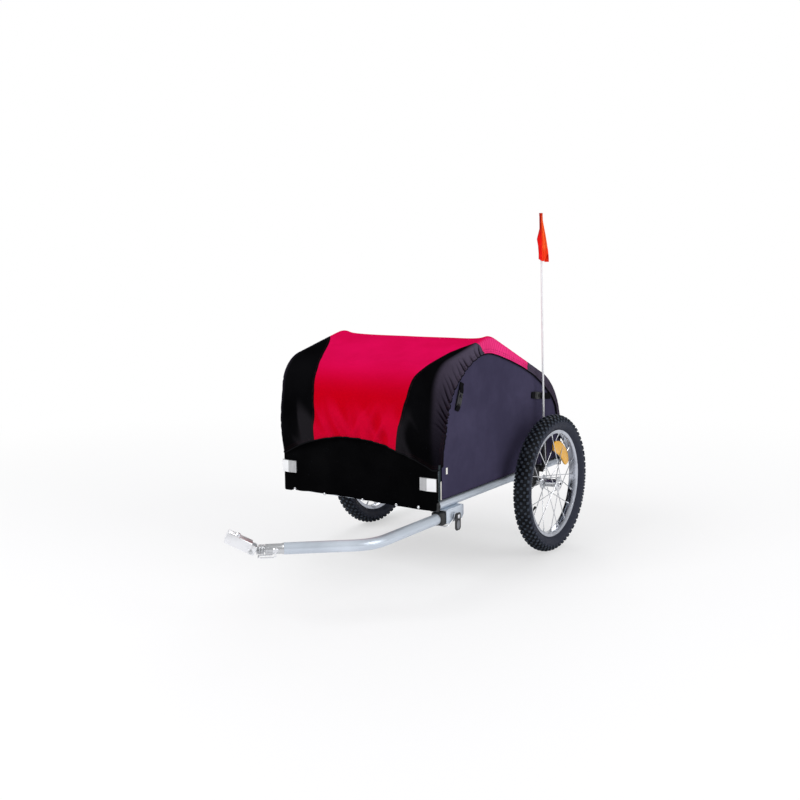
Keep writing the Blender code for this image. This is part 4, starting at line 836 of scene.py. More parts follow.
def cover_finish():
    """Coated nylon, red and black, sewn with doubled seams and a stitched hem."""
    look = Finish("cover_nylon", "red_cloth", seen(200, 0, 32), 0.5, Specular_IOR_Level=0.0)
    tags = ("seam", "hem", "faded", "turned", "crease", "fold")
    seam, hem, faded, turned, crease, fold = map(look.tag, tags)
    u, v = look.cloth()
    cloud = look.noise(5, 5, 0.6).between(0.3, 0.75)
    # The red is painted pinker over the top and pinkest on the turned-down flap: painted sheen and light, not
    # fading.
    red = look.mix(faded.between(0.0, 0.6), seen(190, 0, 22), seen(220, 12, 84))
    red = look.mix(faded.between(0.62, 0.95), red, seen(244, 62, 136))
    # painted highlight: the front's fold ridges are painted a lighter crimson
    red = look.mix(fold.between(0.15, 1.2) * 0.6, red, seen(212, 12, 58))
    # painted shade: the puckers of the turned-down flap are painted darker pink in their valleys, and also
    # bumped
    pucker = (v + abs(u) * 0.45 + look.noise(16, 2) * 0.02).wave(0.0115).between(-0.1, 1.0) * turned
    red = look.mix(pucker * 0.42, red, seen(204, 22, 96))
    red = look.mix(cloud * 0.35, red, seen(176, 0, 30))
    black = look.mix(cloud, seen(5, 5, 6), seen(12, 12, 14))
    # painted highlight: the black gores' fold ridges are painted a lighter grey
    black = look.mix(fold.between(0.3, 1.2) * 0.6, black, seen(38, 36, 40))
    # painted light and shade: the black turned-down flap is painted light grey where it faces the side lamp,
    # darker towards its front end and a little darker towards the rear
    height = v.between(0.0, 0.50) * (1 - 0.45 * v.between(0.60, 1.0))
    flap_light_and_shade = look.mix(height, seen(16, 14, 20), seen(88, 80, 98))
    black = look.mix(turned * (0.75 + cloud * 0.25), black, flap_light_and_shade)
    # painted shade: the drawn hem's crease valleys are painted near black
    black = look.mix(crease.between(0.02, 0.7), black, seen(14, 10, 18))
    colour = look.mix(seam.between(-0.0005, 0.0005), black, red)
    lines = 0.0
    for distance in (seam + 0.0028, seam + 0.0062, hem - 0.0065, hem - 0.0125):
        lines = (1 - abs(distance).between(0.0003, 0.0007)).maths("MAXIMUM", lines)
    stitches = lines * (v.wave(0.0034) + u.wave(0.0034)).between(-0.6, 0.2)
    look.set(Base_Color=look.mix(stitches * 0.7, colour, seen(58, 30, 36)), Roughness=0.46 + cloud * 0.12)
    lap = seam.between(-0.0095, -0.0085) * (1 - seam.between(-0.0006, 0.0006))
    doubled = 1 - hem.between(0.013, 0.015)
    look.bump((look.noise(11, 3, 0.5), 0.004), (lap, 0.0006), (doubled, 0.0007), (pucker, -0.0006),
              (stitches, -0.0004), (woven(u, v, 0.0014), 0.0002))
    return look


cover_cloth = mapped("cover_cloth", 345, 122, cover_place, cover_finish(), "cover", "cover", COVER_T,
                     (0, 0, 1), cover_tags)
ROWS = 100
cover_width = 2 * max(cover_reach(k / ROWS * FULL, 1) for k in range(ROWS + 1))
cut_out = HEM_ARCH * 1.5 * 4 / 3 * FLAT_HALF  # the arches of the front and rear hems
cover_area = sum(2 * cover_reach((k + 0.5) / ROWS * FULL, 1) * FULL / ROWS for k in range(ROWS)) - cut_out
border = [(k / 200, 1) for k in range(201)] + [(1, 1 - k / 120) for k in range(1, 121)]
border += [(1 - k / 200, 0) for k in range(1, 201)] + [(0, k / 120) for k in range(1, 121)]
BINDING = cloth_finish("black_binding", "black_cloth", seen(12, 12, 14), seen(26, 26, 28))
made = bmesh.new()
swept(made, [cover_place(u, v)[0] for u, v in border], 0.0019, 8)
cover_hem = piece("cover_hem", made, BINDING, "cover")

# Buckles and straps
# Four side-release buckles of black acetal hold the hem down. The socket is on a strap sewn to the
# side wall, and the tongue, on a strap sewn inside the hem, comes away with the cover.
BUCKLES = {"front": (-0.417, 0.497, 22, 0.044), "rear": (0.028, 0.454, 98, 0.092)}
STRAP_WIDE, STRAP_THICK, STRAP_LAP = 0.018, 0.0012, 0.0004
WEBBING = cloth_finish("webbing", "black_cloth", seen(14, 14, 16), seen(30, 30, 33), 0.7, 0.0022)


def twins(made, corner, opposite, edge, segments):
    """Adds a box on each side of the middle, across local Y."""
    for way in (-1, 1):
        first, second = ((x, way * y, z) for x, y, z in (corner, opposite))
        block(made, first, second, edge, segments)


def strap(made, points):
    """Adds webbing along (out, up) points."""
    half = (STRAP_THICK / 2, STRAP_WIDE / 2)
    for (out, up), (out_to, up_to) in zip(points, points[1:]):
        run = (out_to - out, up_to - up)
        lean = Matrix.Translation((out, 0, up)) @ Matrix.Rotation(math.atan2(*run), 4, "Y")
        block(made, (-half[0], -half[1], -STRAP_LAP), (*half, math.hypot(*run) + STRAP_LAP), 0.0004, 1, lean)


def socket_body(made):
    """The socket with its ears, its raised window and the bar for its strap."""
    block(made, (0.0, -0.0105, -0.015), (0.0058, 0.0105, 0.004), 0.0022, 3)
    twins(made, (0.0008, 0.0063, 0.001), (0.0050, 0.0107, 0.012), 0.0014, 2)
    block(made, (0.0054, -0.0055, -0.011), (0.0064, 0.0055, 0.000), 0.0005, 2)
    block(made, (0.0008, -0.0102, -0.0205), (0.0044, 0.0102, -0.0165), 0.0012, 2)
    twins(made, (0.0008, 0.0074, -0.0200), (0.0044, 0.0102, -0.0130), 0.0008, 1)


def tongue_body(made):
    """The tongue's prongs and the frame for its strap."""
    block(made, (0.0006, -0.0105, 0.0128), (0.0052, 0.0105, 0.0165), 0.0012, 2)
    block(made, (0.0006, -0.0102, 0.0195), (0.0046, 0.0102, 0.0225), 0.0012, 2)
    twins(made, (0.0008, 0.0074, 0.0140), (0.0046, 0.0102, 0.0215), 0.0008, 1)
    twins(made, (0.0020, 0.0036, 0.0045), (0.0040, 0.0068, 0.0135), 0.0009, 1)


def socket_strap(made):
    """The lower strap, looped round the socket's bar."""
    strap(made, [(0.0004, -0.032), (0.0012, -0.026), (0.0034, -0.0185), (0.0020, -0.0150)])
    strap(made, [(0.0020, -0.031), (0.0044, -0.024), (0.0050, -0.0185)])


def tongue_strap(made):
    """The upper strap, doubled through the tongue and run up under the hem."""
    strap(made, [(0.0050, 0.0180), (0.0042, 0.0260), (0.0016, 0.0360), (0.0016, pull)])
    strap(made, [(0.0020, 0.0205), (0.0030, 0.0225), (0.0003, 0.0360), (0.0003, pull)])


for end, (y, z, lean, pull) in BUCKLES.items():
    for side, s in SIDES.items():
        name = f"{end}_{side}_"
        at_hem = Matrix.Translation((s * (SIDE_OUT + 0.0024), y, z))
        at_hem @= Matrix.Rotation(math.radians(-lean), 4, "X") @ Matrix.Diagonal((s, 1, 1, 1))
        for part, shape, look, body, nodes in (
                ("buckle_socket", socket_body, BLACK_PLASTIC, "frame", [name + "buckle"]),
                ("socket_strap", socket_strap, WEBBING, "frame", []),
                ("buckle_tongue", tongue_body, BLACK_PLASTIC, "cover", []),
                ("tongue_strap", tongue_strap, WEBBING, "cover", [])):
            made = bmesh.new()
            shape(made)
            made.transform(at_hem)
            bmesh.ops.recalc_face_normals(made, faces=made.faces)
            piece(name + part, made, look, body, *nodes)

# Tag, tapes and eyelets
# A pale woven tag is sewn to the near side wall, grey tape binds the front wall's upright corners,
# a pale strip over each hoop's front foot stands in for the bright glint of its plated foot, a painted
# highlight, and plated eyelets hold the front.
CARE_TAG = cloth_finish("care_tag", "black_cloth", seen(222, 220, 214), seen(244, 242, 236), 0.6, 0.0009)
EDGE_TAPE = cloth_finish("edge_tape", "black_cloth", seen(38, 46, 50), seen(58, 66, 70), 0.6, 0.0020)
BRIGHT = steel_finish("chrome_plate", seen(222, 224, 228), 0.14, stain=0.1)


def sewn(name, look, corner, opposite, edge, segments=1):
    """A flat piece sewn on the box."""
    made = bmesh.new()
    block(made, corner, opposite, edge, segments)
    piece(name, made, look, "frame")


sewn("side_tag", CARE_TAG, (SIDE_OUT + 0.0002, -0.479, 0.307), (SIDE_OUT + 0.0012, -0.471, 0.324), 0.0003)
for side, s in SIDES.items():
    sewn(f"front_{side}_corner_tape", EDGE_TAPE, (s * 0.2556, -0.5204, 0.2430),
         (s * 0.2574, -0.5110, 0.3380), 0.0008, 2)
    # painted highlight: a matte white strip standing in for the glint on the hoop's plated foot
    sewn(f"front_{side}_foot_glint_strip", CARE_TAG, (s * 0.2497, -0.5046, CORNER_HIGH + 0.0012),
         (s * 0.2509, -0.4930, CORNER_HIGH + 0.0490), 0.0004)
made = bmesh.new()
low, _ = span("front_panel")
eyelet = [(0.0012, 0.0006), (0.0024, 0.0012), (0.0038, 0.0006), (0.0040, 0), (0.0040, -0.0010),
          (0.0012, -0.0010)]
for x in (-0.215, -0.11, 0.02, 0.13, 0.20):
    z = low.z + (0.005 if abs(x) > 0.18 else 0.002)
    spun(made, eyelet, 20, along((x, low.y - 0.0016, z), (x, low.y - 1, z)))
piece("front_wall_eyelets", made, BRIGHT, "frame")

# Reflectors on the box
# Moulded acrylic prism reflectors in black shells, white at the front and red at the rear, riveted
# through the end walls near the lower corners.
LAMP_X, LAMP_W, LENS_GAP = 0.231, 0.052, 0.0008


def lens_finish(name, slot, colour, rim, pitch=0.0030, inner_face_shaded=True):
    """Acrylic lens over rows of small prisms; a two-faced one has its inner face painted darker, as painted
    shade.
    """
    look = Finish(name, slot, colour, 0.12, Coat_Weight=0.6, Coat_Roughness=0.06, Specular_IOR_Level=0.3)
    x, _, z = look.parts(look.place())
    cell = woven(x, z, pitch)
    facets = look.node("TexVoronoi", {"feature": "F1"}, {"Vector": look.place(), "Scale": 1 / pitch})
    shade = look.mix(cell.between(0.25, 0.75) * 0.45, colour, rim)
    # painted shade: the half of the lens towards the middle, with faint stripes, is darkened
    if inner_face_shaded:
        streak = x.wave(0.0045).between(-0.4, 0.8)
        inner = 1 - (abs(x) - LAMP_X).between(-0.002, 0.001)
        shade = look.mix(inner * (0.75 + streak * 0.25), shade, tuple(c * 0.42 for c in colour))
    look.set(Base_Color=shade, Roughness=0.10 + facets * 0.2)
    look.bump((facets, 0.0006), (cell, 0.0004))
    return look


def raised(made, outline, way):
    """Adds the solid between a flat outline and the same outline moved."""
    face = made.faces.new([made.verts.new(spot) for spot in outline])
    far = bmesh.ops.extrude_face_region(made, geom=[face])["geom"]
    bmesh.ops.translate(made, vec=way, verts=[v for v in far if isinstance(v, bmesh.types.BMVert)])
    bmesh.ops.recalc_face_normals(made, faces=made.faces)


LENSES = {
    "front": lens_finish("white_lens", "white_lens", seen(236, 237, 240), seen(248, 248, 248)),
    "rear": lens_finish("red_lens", "red_lens", seen(196, 10, 12), seen(222, 30, 26)),
}
edge = LAMP_W / 2 - LENS_GAP
prow = [(-edge, -0.0042), (-edge + 0.0012, -0.0056), (0, -0.0090), (edge - 0.0012, -0.0056), (edge, -0.0042),
        (edge, -0.002), (-edge, -0.002)]
for end, (_, e) in ENDS.items():
    for side, s in SIDES.items():
        node = f"{end}_{side}_reflector"
        low, high = span(node)
        face = low.y if e > 0 else high.y
        made = bmesh.new()
        block(made, (low.x, face + e * 0.0003, low.z), (high.x, face + e * 0.0035, high.z), 0.0014)
        piece(f"{node}_shell", made, BLACK_PLASTIC, "frame")
        made = bmesh.new()
        outline = [(s * LAMP_X + x, face - e * depth, low.z + LENS_GAP) for x, depth in prow]
        raised(made, outline, (0, 0, high.z - low.z - 2 * LENS_GAP))
        softened(made, made.edges, 0.0007)
        piece(f"{node}_lens", made, LENSES[end], "frame", node)

# Tyres
# Black rubber, 49 mm wide, moulded with eight staggered rows of small square knobs that wrap down
# over the shoulders. The wheels are drawn lying flat at the origin, outer side up, then stood up.
TRACK, RIM_R, TYRE_HALF = 0.640, 0.1575, 0.0245
SECTION_R, SECTION_H = 0.1780, 0.0204
BEAD = (0.0112, 0.1580)
LINING = 0.86  # the hollow's size, of the casing's
KNOB, KNOB_COUNT = 0.0036, 60
# each row's angle round the casing, its knobs' width and length, and how far it is staggered
KNOB_ROWS = ((0.19, 0.0082, 0.0088, 0.0), (-0.19, 0.0082, 0.0088, 0.5), (0.56, 0.0076, 0.0078, 0.5),
             (-0.56, 0.0076, 0.0078, 0.0), (0.93, 0.0080, 0.0094, 0.0), (-0.93, 0.0080, 0.0094, 0.5),
             (1.27, 0.0060, 0.0072, 0.5), (-1.27, 0.0060, 0.0072, 0.0))
WHEEL_AT = {}
for side, s in SIDES.items():
    stood_up = Matrix.Rotation(s * math.pi / 2, 4, "Y")
    WHEEL_AT[side] = Matrix.Translation((s * TRACK / 2, 0, WHEEL_R)) @ stood_up


def from_axle(look):
    """Distance from the axle line."""
    _, y, z = look.parts(look.place())
    return (y - AXLE_Y).reach(z - WHEEL_R)


def rubber_finish():
    """Tread rubber: dull black, road dust in its low places and fine mould lines round the walls."""
    look = Finish("tyre_rubber", "tyre", seen(20, 22, 26), 0.62, Specular_IOR_Level=0.12)
    radius = from_axle(look)
    dust = look.noise(38, 5, 0.65).between(0.42, 0.72)
    wall = 1 - radius.between(0.184, 0.190)
    lines = radius.wave(0.0022).between(0.2, 0.9) * wall
    # Knob tops and their upper sides, tagged worn, are painted lighter blue-grey: rubbed wear and painted
    # highlight.
    rubbed = look.tag("worn") * (0.55 + 0.45 * look.noise(160, 3, 0.6).between(0.3, 0.7))
    # painted sheen: the sidewalls are painted a lighter blue-grey than the tread
    rubber = look.mix(wall, seen(10, 12, 17), seen(46, 49, 62))
    rubber = look.mix(rubbed, rubber, seen(64, 72, 84))
    look.set(Base_Color=look.mix(dust * 0.3, rubber, seen(58, 62, 70)), Roughness=0.5 + dust * 0.25)
    look.bump((lines, 0.0004), (look.noise(420, 3), 0.00018))
    return look


def tyre_section(angle):
    """Half width and radius of the casing, round from its crown."""
    return TYRE_HALF * math.sin(angle), SECTION_R + SECTION_H * math.cos(angle)


def knob():
    """Mesh of a knob one unit wide and long, narrower at its top, which is marked for a lighter colour: wear
    and painted highlight.
    """
    stud = bmesh.new()
    worn = stud.verts.layers.float.new("worn")
    block(stud, (-0.5, -0.5, -0.25), (0.5, 0.5, 1), 0.14, 1)
    for v in stud.verts:
        if v.co.z > 0.3:
            v.co.x, v.co.y = v.co.x * 0.84, v.co.y * 0.84
            v[worn] = 1.0 if v.co.z > 0.95 else 0.75
    bmesh.ops.recalc_face_normals(stud, faces=stud.faces)
    template = bpy.data.meshes.new("knob")
    stud.to_mesh(template)
    stud.free()
    return template


def tyre_solid():
    """A tyre lying flat: the knobs of its tread and its hollow casing."""
    made = bmesh.new()
    template = knob()
    dice = random.Random(4)
    for angle, wide, long, phase in KNOB_ROWS:
        w, r = tyre_section(angle)
        slope = math.atan2(TYRE_HALF * math.cos(angle), SECTION_H * math.sin(angle))
        seat = Matrix.Translation((r, 0, w)) @ Matrix.Rotation(slope, 4, "Y")
        for k in range(KNOB_COUNT):
            turn = math.tau * (k + phase + dice.uniform(-0.02, 0.02)) / KNOB_COUNT
            size = Matrix.Diagonal((wide, long, KNOB * dice.uniform(0.92, 1.0), 1))
            made.from_mesh(template)
            made.verts.ensure_lookup_table()
            bmesh.ops.transform(made, matrix=Matrix.Rotation(turn, 4, "Z") @ seat @ size,
                                verts=made.verts[-len(template.vertices):])
    bpy.data.meshes.remove(template)
    outline = [tyre_section(math.radians(a)) for a in range(-128, 129, 8)]
    outline = [(-BEAD[0], BEAD[1]), *outline, BEAD]
    casing = [(r, w) for w, r in outline]
    lining = [(SECTION_R + (r - SECTION_R) * LINING + (0.0 if r > 0.170 else 0.002), w * LINING)
              for r, w in reversed(casing)]
    spun(made, casing + lining, 120)
    return made


TYRE_RUBBER = rubber_finish()
tyre = tyre_solid()
for side in SIDES:
    made = tyre.copy()
    made.transform(WHEEL_AT[side])
    piece(f"{side}_tyre_tread", made, TYRE_RUBBER, f"{side}_wheel", f"{side}_tyre")
tyre.free()

# Rims, hubs and spokes
# Polished aluminium box rims, steel hubs and twenty plated spokes to a wheel, laced across two
# others, each screwed into a plated nipple in the rim. The inner tube's valve stands through the rim.
RIM_HALF, RIM_FLOOR, KNOB_ROOM = 0.0135, 0.1455, 0.0063
TUBE_AT, TUBE_SIZE = 0.463, 0.38  # of the room between rim and tread
SPOKES, SPOKE_R, CROSSINGS = 20, 0.0012, 2
FLANGE_R, FLANGE_IN, FLANGE_OUT, FLANGE_T = 0.021, 0.026, 0.024, 0.003
HUB_IN, HUB_OUT, AXLE_R = 0.0465, 0.0265, 0.006
VALVE_ANGLE, VALVE_END, VALVE_BASE = -62.8, 0.113, RIM_R + 0.010
REFLECTOR_ANGLE, REFLECTOR_SPAN, REFLECTOR_TURN = 158.3, 32.0, 14
ROUNDNESS = 3.2  # of the spoke reflector's corners; 2 would be an oval
AMBER = lens_finish("amber_lens", "amber", seen(222, 158, 0), seen(240, 188, 30), 0.0034, False)


def polar(radius, degrees, height=0.0):
    """Place at a radius and an angle round local Z."""
    angle = math.radians(degrees)
    return Vector((radius * math.cos(angle), radius * math.sin(angle), height))


def alloy_finish():
    """Polished alloy with the fine rings of its extrusion and brake dust in patches."""
    look = Finish("rim_alloy", "alloy", seen(214, 216, 220), 0.2, 1.0)
    dust = look.noise(30, 5, 0.6).between(0.5, 0.75)
    look.set(Base_Color=look.mix(dust * 0.5, seen(192, 196, 206), seen(136, 140, 150)))
    look.set(Roughness=0.17 + dust * 0.22)
    look.bump((from_axle(look).wave(0.0009) * 0.5 + 0.5, 0.00006), (look.noise(200, 3), 0.00008))
    return look


def rim(made):
    """Box rim, with an eyelet for each nipple."""
    wing = [(RIM_R, RIM_HALF), (RIM_R - 0.0012, RIM_HALF + 0.0003), (RIM_R - 0.002, RIM_HALF),
            (0.1500, RIM_HALF - 0.0004), (0.1478, RIM_HALF - 0.0016), (0.1464, RIM_HALF * 0.66),
            (RIM_FLOOR, RIM_HALF * 0.34)]
    inside = [(RIM_R, RIM_HALF - 0.0026), (0.1520, RIM_HALF - 0.0030), (0.1480, RIM_HALF * 0.5)]
    half = inside[::-1] + wing
    spun(made, half + [(r, -w) for r, w in reversed(half)], 128)
    for angle in range(0, 360, 360 // SPOKES):
        spun(made, [(0.0034, 0), (0.0034, 0.0012), (0.0020, 0.0016), (0.0020, 0)], 12,
             along(polar(RIM_FLOOR + 0.0006, angle), polar(0.1, angle)))


def tube_and_valve(made):
    """Inner tube in the room between rim and tread, its valve stem and the stem's thread."""
    room = WHEEL_R - KNOB_ROOM - RIM_R
    ring = [polar(room * TUBE_SIZE, 360 * k / 16) for k in range(16)]
    spun(made, [(RIM_R + room * TUBE_AT + p.x, p.y) for p in ring], 64)
    stem = along(polar(VALVE_BASE, VALVE_ANGLE), polar(0.1, VALVE_ANGLE))
    long = VALVE_BASE - VALVE_END
    spun(made, [(0, long), (0.0026, long), (0.0033, long - 0.0008), (0.0033, long - 0.0090),
                (0.0024, long - 0.0095), (0.0024, long - 0.020), (0.0032, long - 0.021), (0.0032, 0),
                (0, 0)], 20, stem)
    for k in range(9):
        high = long - 0.0016 - k * 0.0008
        low = high - 0.0004
        spun(made, [(0.0034, high), (0.0034, low), (0.0030, low), (0.0030, high)], 16, stem)


def hexagon(made, radius, long, edge, segments, matrix):
    """Adds a six-sided nut or head."""
    nut = bmesh.ops.create_cone(made, cap_ends=True, segments=6, radius1=radius, radius2=radius,
                                depth=long, matrix=matrix)["verts"]
    softened(made, {line for v in nut for line in v.link_edges}, edge, segments)


def hub(made):
    """Turned hub shell with a flange near each end, and its nut."""
    t = FLANGE_T / 2
    flange = [(0.0122, -t - 0.003), (0.0140, -t - 0.0004), (0.0204, -t), (0.0210, -t + 0.0006),
              (0.0210, t - 0.0006), (0.0200, t), (0.0104, t + 0.0003)]
    outer = [(r, FLANGE_OUT + out) for r, out in reversed(flange)]
    inner = [(r, -FLANGE_IN - out) for r, out in flange]
    spun(made, [(0.0064, HUB_OUT), (0.0094, HUB_OUT), (0.0100, HUB_OUT - 0.0006), *outer, (0.0118, 0), *inner,
                (0.0100, -FLANGE_IN - t - 0.0015), (0.0100, -HUB_IN + 0.0006), (0.0094, -HUB_IN),
                (0.0064, -HUB_IN)], 48)
    hexagon(made, 0.0104, 0.0045, 0.0004, 1, Matrix.Translation((0, 0, -HUB_IN + 0.0042)))


def spokes(made):
    """Spokes laced in crossing pairs, each from its flange hole to its nipple in the rim."""
    spacing = 360 / (SPOKES / 2)
    for k in range(SPOKES):
        outer, pair = k % 2 == 0, k // 2
        lead = 1 if pair % 2 else -1
        hole = spacing * (pair + (0 if outer else 0.5))
        plane = FLANGE_OUT - FLANGE_T / 2 if outer else -FLANGE_IN + FLANGE_T / 2
        start = polar(FLANGE_R - 0.0035, hole, plane - lead * 0.0030)
        elbow = Vector((start.x, start.y, plane + lead * 0.0028))
        end = polar(RIM_FLOOR, hole + lead * spacing * CROSSINGS)
        soft = elbow + (end - elbow).normalized() * 0.0016
        nipple = end + (elbow - end).normalized() * 0.012
        swept(made, [(*start, 1.9), (*start.lerp(elbow, 0.18), 1.9), (*start.lerp(elbow, 0.22), 1),
                     (*start.lerp(elbow, 0.8), 1), (*soft, 1), (*nipple, 1), (*nipple.lerp(end, 0.04), 1.8),
                     (*nipple.lerp(end, 0.55), 1.9), (*nipple.lerp(end, 0.6), 2.3), (*end, 2.4)], SPOKE_R, 10)


def spoke_reflector(made):
    """Curved reflector clipped between the spokes, with rounded corners."""
    middle, half, band = 0.680 * RIM_R, 0.122 * RIM_R, []
    for k in range(64):
        reach, rise = math.cos(math.tau * k / 64), math.sin(math.tau * k / 64)
        swell = (abs(reach) ** ROUNDNESS + abs(rise) ** ROUNDNESS) ** (-1 / ROUNDNESS)
        angle = REFLECTOR_ANGLE - s * REFLECTOR_TURN + REFLECTOR_SPAN * reach * swell
        band.append(polar(middle + half * rise * swell, angle, -0.0008))
    raised(made, band, (0, 0, 0.0056))
    softened(made, [e for e in made.edges if abs(e.verts[0].co.z - e.verts[1].co.z) < 0.001], 0.0014, 3)


ALLOY = alloy_finish()
for side, s in SIDES.items():
    for part, shape, look, nodes in (("rim_alloy", rim, ALLOY, ["rim"]),
                                     ("tube_and_valve", tube_and_valve, BLACK_PLASTIC, ["inner_tube"]),
                                     ("hub_shell", hub, BRIGHT, ["hub"]),
                                     ("spokes", spokes, BRIGHT, []),
                                     ("amber_reflector", spoke_reflector, AMBER, ["spoke_reflector"])):
        made = bmesh.new()
        shape(made)
        made.transform(WHEEL_AT[side])
        piece(f"{side}_{part}", made, look, f"{side}_wheel", *(f"{side}_{node}" for node in nodes))

# Axles
# Each wheel comes off with its push-button axle, a plated steel pin with a groove for its locking
# balls; pressing the black button in its head lets it out of the receiver.
HEAD, FOOT, HEAD_UNDER = 0.0298, -0.120, 0.0268
for side in SIDES:
    made = bmesh.new()
    pin = [(0, HEAD), (0.0086, HEAD), (0.0095, HEAD - 0.0008), (0.0095, 0.0272), (0.0091, HEAD_UNDER),
           (AXLE_R, HEAD_UNDER), (AXLE_R, FOOT + 0.0092), (AXLE_R - 0.0008, FOOT + 0.0088),
           (AXLE_R - 0.0008, FOOT + 0.0062), (AXLE_R, FOOT + 0.0058), (AXLE_R, FOOT + 0.001),
           (AXLE_R - 0.001, FOOT), (0, FOOT)]
    spun(made, pin, 40)
    for angle in range(0, 360, 90):
        ball = Matrix.Translation(polar(AXLE_R - 0.0006, angle, FOOT + 0.0075))
        bmesh.ops.create_uvsphere(made, u_segments=12, v_segments=8, radius=0.0012, matrix=ball)
    for angle in range(0, 360, 12):
        block(made, (0.0092, -0.00035, 0.0275), (0.0098, 0.00035, HEAD - 0.0010),
              matrix=Matrix.Rotation(math.radians(angle), 4, "Z"))
    made.transform(WHEEL_AT[side])
    piece(f"{side}_axle_pin", made, BRIGHT, f"{side}_axle", f"{side}_axle")
    made = bmesh.new()
    spun(made, [(0, 0.0320), (0.0020, 0.0320), (0.0027, 0.0317), (0.0030, 0.0311), (0.0030, 0.012),
                (0, 0.012)], 28)
    made.transform(WHEEL_AT[side])
    piece(f"{side}_button", made, BLACK_PLASTIC, f"{side}_axle_button", f"{side}_axle_button")

# Tow bracket and arm
# A folded steel channel welded under the left rail takes the arm's rear end, and a nylon collar
# steadies it in front. The arm is one bent tube, 28 mm across, drilled for the lock pin.
ARM_X, ARM_Z, ARM_R, ARM_WALL = RAIL_X + 0.0025, 0.195, 0.014, 0.0015
ARM_BEND, ARM_ANGLE, ARM_REACH = -0.794, math.radians(49.5), 0.2096
PLATE, FOLD, FOLD_IN = 0.003, 0.0016, 0.001


def channel(first, last, low, high):
    """Outline of a plate folded into a channel that is open below."""
    way = 1 if last > first else -1
    outer = [(0, low), (0, high - FOLD), (FOLD, high)]
    inner = [(PLATE, low), (PLATE, high - PLATE - FOLD_IN), (PLATE + FOLD_IN, high - PLATE)]
    there = [(last - way * x, z) for x, z in outer[::-1] + inner]
    return [(first + way * x, z) for x, z in outer] + there + [(first + way * x, z) for x, z in inner[::-1]]


def sharp(made, least):
    """Edges where the faces meet at more than this angle."""
    return [e for e in made.edges if e.calc_face_angle(0) > least]


low, high = span("tow_bracket")
made = bmesh.new()
raised(made, [(x, low.y, z) for x, z in channel(low.x, high.x, low.z, high.z)], (0, high.y - low.y, 0))
cut = bmesh.ops.bisect_plane(made, geom=made.verts[:] + made.edges[:] + made.faces[:], clear_outer=True,
                             plane_co=(0, high.y - 0.009, low.z), plane_no=Vector((0, 1, -1)).normalized())
bmesh.ops.edgeloop_fill(made, edges=[e for e in cut["geom_cut"] if isinstance(e, bmesh.types.BMEdge)])
softened(made, sharp(made, 0.7), 0.0005)
for x in (low.x + 0.001, high.x - 0.001):
    bead = [(x + 0.0006 * math.sin(k * 1.9), low.y + 0.006 + k * 0.0018,
             high.z - 0.0002 + 0.0003 * math.sin(k * 2.7), 1 + 0.14 * math.sin(k * 3.1)) for k in range(40)]
    swept(made, bead, 0.0017, 10)
piece("tow_bracket_channel", made, SILVER, "frame", "tow_bracket")

low, high = span("tow_collar")
made = bmesh.new()
block(made, low, high, 0.0045, 4)
LIP = ((0.0002, 0.0012), (0.0016, 0.0012), (0.0022, 0.0005), (0.0022, 0), (0.0002, 0))
for y, way in ((low.y + 0.0003, -1), (high.y - 0.0003, 1)):
    outwards = along((ARM_X, y, ARM_Z), (ARM_X, y + way, ARM_Z))
    spun(made, [(ARM_R + thick, out) for thick, out in LIP], 48, outwards)
piece("tow_collar_moulding", made, BLACK_PLASTIC, "frame", "tow_collar")

arm_corner = Vector((ARM_X, ARM_BEND, ARM_Z))
ARM_END = arm_corner - Vector((math.sin(ARM_ANGLE), math.cos(ARM_ANGLE), 0)) * ARM_REACH
arm_path = rounded([(ARM_X, -0.420, ARM_Z), arm_corner, ARM_END], [0.100], 40)


def bridged(made, *rings):
    """Joins rings of points by a band of faces."""
    edges = {e for ring in rings for v in ring for e in v.link_edges if e.other_vert(v) in ring}
    bmesh.ops.bridge_loops(made, edges=list(edges))


made = bmesh.new()
shell = []
for radius in (ARM_R, ARM_R - ARM_WALL):
    rings = []
    for before, point, after in zip(arm_path[:1] + arm_path, arm_path, arm_path[1:] + arm_path[-1:]):
        run = (after - before).normalized()
        upright = Vector((0, 0, 1))
        matrix = Matrix((run.cross(upright), upright, run)).transposed().to_4x4()
        matrix.translation = point
        rings.append(bmesh.ops.create_circle(made, segments=48, radius=radius, matrix=matrix)["verts"])
    shell.append(rings)
for rings in shell:
    for ring, following in zip(rings, rings[1:]):
        bridged(made, ring, following)
for end in (0, -1):
    bridged(made, *(rings[end] for rings in shell))
bmesh.ops.recalc_face_normals(made, faces=made.faces)
piece("tow_arm_tube", made, SILVER, "frame", "tow_arm")

# Lock pin
# Plated pin through bracket and arm. A wire ring on it passes under the arm and snaps over the
# pin's end, and a dished black tab hangs on its head to pull it by.
PIN_Y, PIN_HALF, PIN_R = -0.457, 0.020, 0.0040
NECK = PIN_HALF + 0.005
CROSSWISE = Matrix(((0, 0, 1), (0, 1, 0), (-1, 0, 0))).to_4x4()
PIN_FRAME = Matrix.Translation((ARM_X, PIN_Y, ARM_Z)) @ CROSSWISE
made = bmesh.new()
spun(made, [(0, NECK + 0.0086), (0.0050, NECK + 0.0086), (0.0060, NECK + 0.0080), (0.0060, NECK + 0.0062),
            (0.0045, NECK + 0.0060), (0.0045, NECK + 0.0025), (0.0071, NECK + 0.0025),
            (0.0075, NECK + 0.0021), (0.0075, NECK + 0.0004), (0.0071, NECK), (PIN_R, NECK),
            (PIN_R, -0.0240), (0.0034, -0.0254), (0.0020, -0.0260), (0, -0.0260)], 36, PIN_FRAME)
piece("lock_pin_shaft", made, BRIGHT, "lock_pin", "lock_pin")


